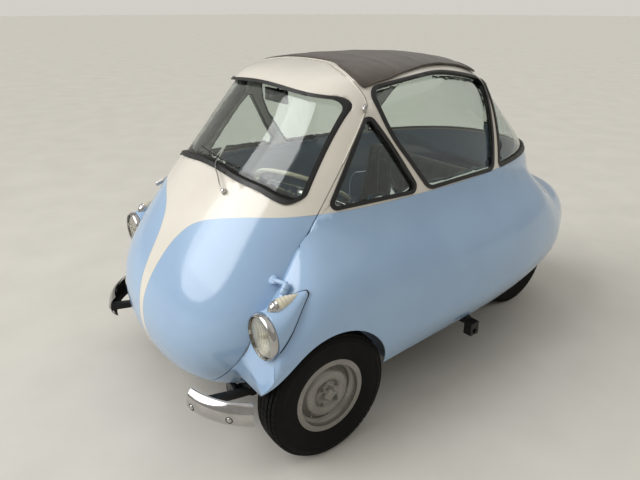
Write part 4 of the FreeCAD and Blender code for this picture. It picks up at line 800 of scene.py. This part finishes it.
def swollen(name, node, top, taper):
    low, high = (Vector(corner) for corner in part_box(node))
    middle = (low + high) / 2
    span = high - low - Vector([seatLook["inset"]] * 3) * 2
    shape = bmesh.new()
    bmesh.ops.create_cube(shape, size=1, matrix=Matrix.Translation(middle) @ Matrix.Diagonal((*span, 1)))
    for vert in shape.verts:
        if vert.co.z > middle.z:
            vert.co.x -= math.copysign(taper, vert.co.x)
    roundEdges(shape, seatLook["round"], 4)
    mesh = bpy.data.meshes.new(name)
    shape.to_mesh(mesh)
    shape.free()
    pad = linked(name + "Blank", mesh)
    voxels = pad.modifiers.new("voxels", "REMESH")
    voxels.mode = "VOXEL"
    voxels.voxel_size = seatLook["voxel"]
    blank = evaluatedMesh(pad)
    pad.modifiers.clear()
    pad.data = blank
    start = moved = [vert.co.copy() for vert in blank.vertices]
    cloth = pad.modifiers.new("cloth", "CLOTH")
    cloth.settings.use_pressure = True
    cloth.settings.uniform_pressure_force = seatLook["pressure"]
    cloth.settings.effector_weights.gravity = 0
    cloth.settings.quality = 4
    for step in range(1, seatLook["steps"] + 1):
        scene.frame_set(step)
    moved = [vert.co.copy() for vert in evaluatedMesh(pad).vertices]
    scene.frame_set(1)
    shape = bmesh.new()
    shape.from_mesh(blank)
    shape.verts.ensure_lookup_table()
    halfSpan = span.dot(Vector([abs(c) for c in top])) / 2
    for vert, before, after in zip(shape.verts, start, moved):
        shift = after - before
        if shift.length > seatLook["cap"]:
            shift = shift.normalized() * seatLook["cap"]
        spot = before + shift
        reach = spot.x / seatLook["channels"]
        fold = math.exp(-((reach - round(reach)) * seatLook["channels"] / seatLook["seam"]) ** 2)
        facing = max(0.0, (spot - middle).dot(top) / halfSpan)
        spot -= top * seatLook["depth"] * fold * min(1, facing)
        for axis in range(3):
            spot[axis] = min(max(spot[axis], low[axis] + seatLook["margin"]), high[axis] - seatLook["margin"])
        vert.co = spot
    bpy.data.objects.remove(pad)
    piece = finishPiece(name, shape, "root", "seatTweed", 80, node)
    smooth = piece.modifiers.new("smooth", "SUBSURF")
    smooth.levels = 1
    smooth.render_levels = 1


for look in seatPads:
    swollen(**look)
print("seats made")


# Steering wheel: thin ivory rim on pairs of steel spokes
wheelLook = {"centre": Vector((0.170, -0.470, 0.850)), "foot": Vector((0.300, -0.800, 0.330)), "radius": 0.200,
             "rim": 0.0088, "spokes": (90, 210, 330), "spokeGap": 0.006, "spoke": (0.0026, 0.0026, 0.180),
             "spokeIn": -0.014, "spokeOut": 0.110, "spokeRise": 0.028,
             "boss": ((0.0, 0.004), (0.016, 0.002), (0.027, -0.006), (0.030, -0.018), (0.028, -0.040),
                      (0.0, -0.040))}
down = (wheelLook["foot"] - wheelLook["centre"]).normalized()
wheelTurn = Matrix.Translation(wheelLook["centre"]) @ aimed(down, "-X")
shape = turned([(wheelLook["radius"] + wheelLook["rim"] * math.sin(a), wheelLook["rim"] * math.cos(a))
                for a in [math.pi * 2 * i / 12 for i in range(13)]], 72)
bmesh.ops.transform(shape, matrix=wheelTurn, verts=shape.verts)
finishPiece("steeringRim", shape, "steering_wheel", "ivoryResin", 50, "steering_wheel")
shape = turned(wheelLook["boss"], 36)
spokeLean = Matrix.Rotation(-math.atan2(wheelLook["spokeRise"], wheelLook["spoke"][2]), 4, "Y")
for angle in wheelLook["spokes"]:
    turn = Matrix.Rotation(math.radians(angle), 4, "X")
    for gap in (-wheelLook["spokeGap"], wheelLook["spokeGap"]):
        spot = Matrix.Translation((wheelLook["spokeIn"], gap, wheelLook["spokeOut"]))
        addCone(shape, 10, *wheelLook["spoke"], turn @ spot @ spokeLean)
bmesh.ops.transform(shape, matrix=wheelTurn, verts=shape.verts)
finishPiece("steeringSpokes", shape, "steering_wheel", "bumperChrome", 40)
print("steering wheel made")


# Wiper: spindle cap, bent arm and blade lying along the foot of the screen. Places are (x, z, height over
# the skin), the cap's profile is (radius, outward)
wiperLook = {"spindle": (0.189, 0.914, 0.0), "armRadius": 0.0026, "bladeRadius": 0.0030,
             "cap": ((0.0, 0.020), (0.0065, 0.0185), (0.0085, 0.015), (0.0085, 0.006), (0.0120, 0.004),
                     (0.0125, 0.0004), (0.0, 0.0004)),
             "arm": ((0.189, 0.914, 0.016), (0.165, 0.924, 0.018), (0.120, 0.950, 0.016), (0.070, 0.972, 0.015),
                     (0.030, 0.985, 0.012)),
             "blade": (Vector((-0.150, 1.002, 0.006)), Vector((0.175, 0.987, 0.006))), "bladePoints": 8}
frontTree = surfaceTree("door_shell", "windscreen_glass", "windscreen_seal")


def skinPoint(x, z, lift):
    hit, normal, index, distance = frontTree.ray_cast(Vector((x, -2, z)), Vector((0, 1, 0)))
    return hit + normal * lift, normal


spot, normal = skinPoint(*wiperLook["spindle"])
shape = turned(wiperLook["cap"], 28)
bmesh.ops.transform(shape, matrix=Matrix.Translation(spot) @ aimed(normal), verts=shape.verts)
finishPiece("wiperSpindle", shape, "door", "bumperChrome", 35, "wiper")
armPoints = [skinPoint(*spot)[0] for spot in wiperLook["arm"]]
tubePiece("wiperArm", armPoints, wiperLook["armRadius"], "door", "bumperChrome")
first, last = wiperLook["blade"]
bladePoints = [skinPoint(*first.lerp(last, i / wiperLook["bladePoints"]))[0]
               for i in range(wiperLook["bladePoints"] + 1)]
tubePiece("wiperBlade", bladePoints, wiperLook["bladeRadius"], "door", "windowRubber")
print("wiper made")


# Door hinges: barrels on one slanting axis, their arms running down to the skin
hingeLooks = (
    {"name": "lowHinge", "point": Vector((0.556, -0.822, 0.673)), "radius": 0.0135, "length": 0.043,
     "material": "skyEnamel", "slot": "blue_paint", "stands": ("body_hinges", "door_hinge_arms")},
    {"name": "topHinge", "point": Vector((0.430, -0.391, 1.203)), "radius": 0.0078, "length": 0.029,
     "material": "bumperChrome", "slot": "chrome", "stands": ((), ())},
)
# One barrel half from its end to the gap: share of the radius, distance from the end
barrelLook = {"profile": ((0.34, 0.0), (0.42, 0.0012), (0.62, 0.0012), (0.7, 0.0022), (0.92, 0.0034),
                          (1, 0.006)),
              "gap": 0.0007, "armLean": (0.8, 0.6), "armFoot": 0.62, "armTop": 0.66, "knob": 0.85,
              "knobFlat": 0.75}
hingeRun = (hingeLooks[1]["point"] - hingeLooks[0]["point"]).normalized()
bodyTree = surfaceTree("body_lower", "cab_upper", "cab_window_seals", "headlamp_pods")


def hingeHalf(look, onDoor):
    radius, length = look["radius"], look["length"]
    inward = (Vector((-1, 0, 0)) + hingeRun * hingeRun.x).normalized()
    sideways = hingeRun.cross(inward).normalized()
    if sideways.y < 0:
        sideways = -sideways
    way = hingeRun if onDoor else -hingeRun
    aside, down = barrelLook["armLean"]
    reach = (sideways * (-aside if onDoor else aside) + inward * down).normalized()
    start = look["point"] + way * (length / 4)
    skin = frontTree if onDoor else bodyTree
    hit = skin.ray_cast(start, reach)[0] or skin.find_nearest(start)[0]
    rings = [(radius * share, length / 2 - back) for share, back in barrelLook["profile"]]
    shape = turned([(0.0, length / 2)] + rings + [(radius, barrelLook["gap"]), (0.0, barrelLook["gap"])], 36)
    bmesh.ops.transform(shape, matrix=Matrix.Translation(look["point"]) @ aimed(way), verts=shape.verts)
    arm = hit - start
    turn = aimed(arm, "Z", "Y")
    addCone(shape, 24, radius * barrelLook["armFoot"], radius * barrelLook["armTop"], arm.length,
            Matrix.Translation(start + arm / 2) @ turn)
    flat = Matrix.Diagonal((1, 1, barrelLook["knobFlat"], 1))
    bmesh.ops.create_uvsphere(shape, u_segments=28, v_segments=14, radius=radius * barrelLook["knob"],
                              matrix=Matrix.Translation(hit) @ turn @ flat)
    return shape


for look in hingeLooks:
    for ending, body, onDoor, stands in (("Foot", "root", False, look["stands"][0]),
                                         ("Arm", "door", True, look["stands"][1])):
        finishPiece(look["name"] + ending, hingeHalf(look, onDoor), body, look["material"], 40,
                    stands)

# The low hinge ends on the door in a rounded foot, joined to the barrel by a short bent link
footLook = {"spot": Vector((0.489, -0.827, 0.683)), "size": (0.023, 0.017, 0.014), "link": 0.0085, "bow": 0.012,
            "lift": 0.004, "upBarrel": 0.42}
foot, normal, index, distance = frontTree.find_nearest(footLook["spot"])
across = (hingeLooks[0]["point"] - foot).normalized()
turn = Matrix((across, normal.cross(across).normalized(), normal)).transposed().to_4x4()
shape = bmesh.new()
bmesh.ops.create_uvsphere(shape, u_segments=32, v_segments=18, radius=1,
                          matrix=Matrix.Translation(foot) @ turn @ Matrix.Diagonal((*footLook["size"], 1)))
finishPiece("lowHingeKnob", shape, "door", "skyEnamel", 40)
above = hingeLooks[0]["point"] + hingeRun * (hingeLooks[0]["length"] * footLook["upBarrel"])
bend = (foot + above) / 2 + normal * footLook["bow"]
linkPoints = [foot + normal * footLook["lift"], bend, above]
tubePiece("lowHingeLink", linkPoints, footLook["link"], "door", "skyEnamel")
print("hinges made")


# Mats over the sills, from the floor pan out to the shell's inner side
matLook = {"inner": 0.462, "level": 0.312, "first": -0.385, "step": 0.0143, "rows": 50, "strips": 4,
           "furthest": 0.66, "open": 0.60, "clear": 0.0015, "wall": 0.004}
shape = bmesh.new()
bmesh.ops.create_grid(shape, x_segments=matLook["strips"], y_segments=matLook["rows"], size=0.5)
for vert in shape.verts:
    row = round((vert.co.y + 0.5) * matLook["rows"])
    start = Vector((matLook["inner"], matLook["first"] + matLook["step"] * row, matLook["level"]))
    hit = bodyTree.ray_cast(start, Vector((1, 0, 0)))[0]
    far = min(hit.x, matLook["furthest"]) - matLook["clear"] if hit else matLook["open"]
    vert.co = (start.x + (far - start.x) * (vert.co.x + 0.5), start.y, start.z)
giveWall(finishPiece("sillMats", bothSides(shape), "root", "ribbedMat", 40), matLook["wall"])
print("sill mats laid")


# Cooling louvres and a turn catch on the engine lid
lidLook = {"columns": (0.495, 0.590), "low": 0.400, "pitch": 0.026, "count": 7, "width": 0.074, "height": 0.015,
           "depth": 0.0055, "mouth": -0.25, "wall": 0.0012, "catch": (0.5425, 0.585),
           "knob": ((0.0, 0.0065), (0.006, 0.006), (0.0105, 0.0045), (0.0125, 0.002), (0.013, -0.0005),
                    (0.0, -0.0005)), "grip": (0.006, 0.004, 0.018), "gripOut": 0.0085}
lidTree = surfaceTree("engine_lid")


def lidSpot(y, z):
    hit, normal, index, distance = lidTree.ray_cast(Vector((-2, y, z)), Vector((1, 0, 0)))
    return Matrix.Translation(hit) @ aimed(normal, "Z", "Y")


# A pressed scoop: half a ball, open below
scoop = bmesh.new()
bmesh.ops.create_uvsphere(scoop, u_segments=24, v_segments=12, radius=1)
for spot, way in (((0, 0, 0), (0, 0, 1)), ((0, lidLook["mouth"], 0), (0, 1, 0))):
    bmesh.ops.bisect_plane(scoop, geom=scoop.verts[:] + scoop.edges[:] + scoop.faces[:], plane_co=spot,
                           plane_no=way, clear_inner=True)
size = Matrix.Diagonal((lidLook["width"] / 2, lidLook["height"], lidLook["depth"], 1))
places = [lidSpot(y, lidLook["low"] + lidLook["pitch"] * count) @ size
          for y in lidLook["columns"] for count in range(lidLook["count"])]
giveWall(finishPiece("lidLouvres", placedCopies(scoop, places), "engine_lid", "skyEnamel", 50),
         lidLook["wall"])
shape = turned(lidLook["knob"], 32)
bmesh.ops.create_cube(shape, size=1, matrix=Matrix.Translation((lidLook["gripOut"], 0, 0))
                      @ Matrix.Diagonal((*lidLook["grip"], 1)))
bmesh.ops.transform(shape, matrix=lidSpot(*lidLook["catch"]) @ Matrix.Rotation(-math.pi / 2, 4, "Y"),
                    verts=shape.verts)
finishPiece("lidCatch", shape, "engine_lid", "bumperChrome", 35)
print("lid louvres made")


# Bumper bolts on black washers
bumperLook = {"centre": Vector((0.360, -0.826, 0.272)), "radius": 0.320, "angles": (-76, -48), "drop": -0.006,
              "sink": 0.0015, "bolt": 0.010, "boltFlat": 0.55, "washer": (0.0140, 0.0130, 0.003)}
bolts = bmesh.new()
washers = bmesh.new()
for angle in bumperLook["angles"]:
    out = Vector((math.cos(math.radians(angle)), math.sin(math.radians(angle)), 0))
    spot = bumperLook["centre"] + out * (bumperLook["radius"] - bumperLook["sink"])
    spot += upright * bumperLook["drop"]
    turn = Matrix.Translation(spot) @ aimed(out, "Z", "Y")
    bmesh.ops.create_uvsphere(bolts, u_segments=24, v_segments=12, radius=bumperLook["bolt"],
                              matrix=turn @ Matrix.Diagonal((1, 1, bumperLook["boltFlat"], 1)))
    addCone(washers, 24, *bumperLook["washer"], turn)
finishPiece("bumperBolts", bothSides(bolts), "root", "bumperChrome", 35)
finishPiece("bumperWashers", bothSides(washers), "root", "frameBlack", 35)

# The horn faces forward: a ribbed cover in a black shell, as (radius, forward)
hornLook = {"centre": Vector((0.372, -0.956, 0.214)), "radius": 0.034, "ribs": 3, "ribLift": 0.00144,
            "ribFoot": -0.0008, "button": ((0.0, 0.0018), (0.0055, 0.0018), (0.0065, 0.0004)), "rim": 0.002,
            "shell": ((0.0335, -0.0002), (0.034, -0.0015), (0.034, -0.014), (0.0238, -0.026), (0.014, -0.030),
                      (0.014, -0.050), (0.0, -0.050))}
ribsFrom = hornLook["button"][-1][0]
cover = []
for i in range(41):
    t = i / 40
    rib = (1 - math.cos(2 * math.pi * hornLook["ribs"] * t)) / 2
    cover.append((ribsFrom + (hornLook["radius"] - hornLook["rim"] - ribsFrom) * t,
                  hornLook["ribLift"] * rib + hornLook["ribFoot"]))
hornTurn = Matrix.Translation(hornLook["centre"]) @ facingFront
horn = turned([*hornLook["button"], *cover, *hornLook["shell"]], 48)
finishPiece("hornShell", placedCopies(horn, [hornTurn]), "root", "blackResin", 40, "horn")

# Tail lamps: a red lens in a chrome ring, as (radius, backward)
tailLook = {"centre": Vector((0.235, 1.127, 0.470)),
            "lens": ((0.0, 0.015), (0.008, 0.0148), (0.016, 0.0135), (0.0215, 0.0105), (0.0245, 0.006),
                     (0.0245, 0.0005)),
            "ring": ((0.0245, 0.0005), (0.0250, 0.0080), (0.0285, 0.0070), (0.0320, 0.0035), (0.0325, 0.0002))}
tailTurn = Matrix.Translation(tailLook["centre"]) @ Matrix.Rotation(math.pi / 2, 4, "Z")
lens = bothSides(turned(tailLook["lens"], 40), tailTurn)
finishPiece("tailLenses", lens, "root", "redGlass", 40, "tail_lamps")
finishPiece("tailRings", bothSides(turned(tailLook["ring"]), tailTurn), "root", "bumperChrome", 40)
print("small fittings made")


# Camera at the photograph's viewpoint
cameraLook = {"place": (2.0056, -1.7337, 1.5596), "turn": (67.4, 0.0, 53.94), "lens": 32.78, "sensor": 36,
              "reach": 60}
camera = linked("camera", bpy.data.cameras.new("camera"))
camera.location = cameraLook["place"]
camera.rotation_euler = [math.radians(angle) for angle in cameraLook["turn"]]
camera.data.lens = cameraLook["lens"]
camera.data.sensor_width = cameraLook["sensor"]
camera.data.clip_end = cameraLook["reach"]
scene.camera = camera

# Plain pale floor and sky. Patches in mm
stageLook = {"reach": 60, "tones": ("#cfccc4", "#d6d3cb"), "patch": 333.3, "rough": 0.75, "sky": "#d2cfc8",
             "skyLight": 0.62}
shape = bmesh.new()
bmesh.ops.create_circle(shape, cap_ends=True, segments=64, radius=stageLook["reach"])
mesh = bpy.data.meshes.new("studioFloor")
shape.to_mesh(mesh)
shape.free()
studioFloor = linked("studioFloor", mesh)
# Painted studio floor: matt and pale, with faint dusty patches
material, tree, shader = newMaterial("studioFloorPaint", {"Roughness": stageLook["rough"]})
place = addNode(tree, "TexCoord", out="Object")
dust = addNode(tree, "TexNoise", {"Vector": place, "Scale": 1000 / stageLook["patch"], "Detail": 5.0},
               out="Fac")
fillSockets(tree, shader, {"Base Color": patchTone(tree, dust, stageLook["tones"], 0.3)})
mesh.materials.append(material)

world = bpy.data.worlds.new("studioSky")
world.use_nodes = True
scene.world = world
tree = world.node_tree
paths = addNode(tree, "LightPath").node.outputs
seen = addNode(tree, "Math", {0: paths["Is Camera Ray"], 1: paths["Is Transmission Ray"]}, operation="MAXIMUM")
strength = addNode(tree, "MapRange", {"Value": seen, "To Min": stageLook["skyLight"], "To Max": 1.0})
fillSockets(tree, tree.nodes["Background"], {"Color": linear(stageLook["sky"]), "Strength": strength})

# Two broad even lights and one panel that gives the paint its soft highlight
lampSettings = (
    {"name": "keyLight", "kind": "SUN", "place": (-2.2, -4.6, 4.4), "size": 52, "power": 1.85},
    {"name": "topLight", "kind": "SUN", "place": (0.6, 1.2, 5.0), "size": 90, "power": 0.55},
    {"name": "softPanel", "kind": "AREA", "place": (-0.9, -3.6, 3.4), "size": 3.0, "power": 30},
)
lampAim = Vector((0, 0, 0.6))
for look in lampSettings:
    data = bpy.data.lights.new(look["name"], look["kind"])
    if look["kind"] == "SUN":
        data.angle = math.radians(look["size"])
    else:
        data.size = look["size"]
    data.energy = look["power"]
    lamp = linked(look["name"], data)
    lamp.location = look["place"]
    lamp.rotation_euler = (lampAim - Vector(look["place"])).to_track_quat("-Z", "Y").to_euler()
scene.view_settings.view_transform = "Standard"
print("stage set")
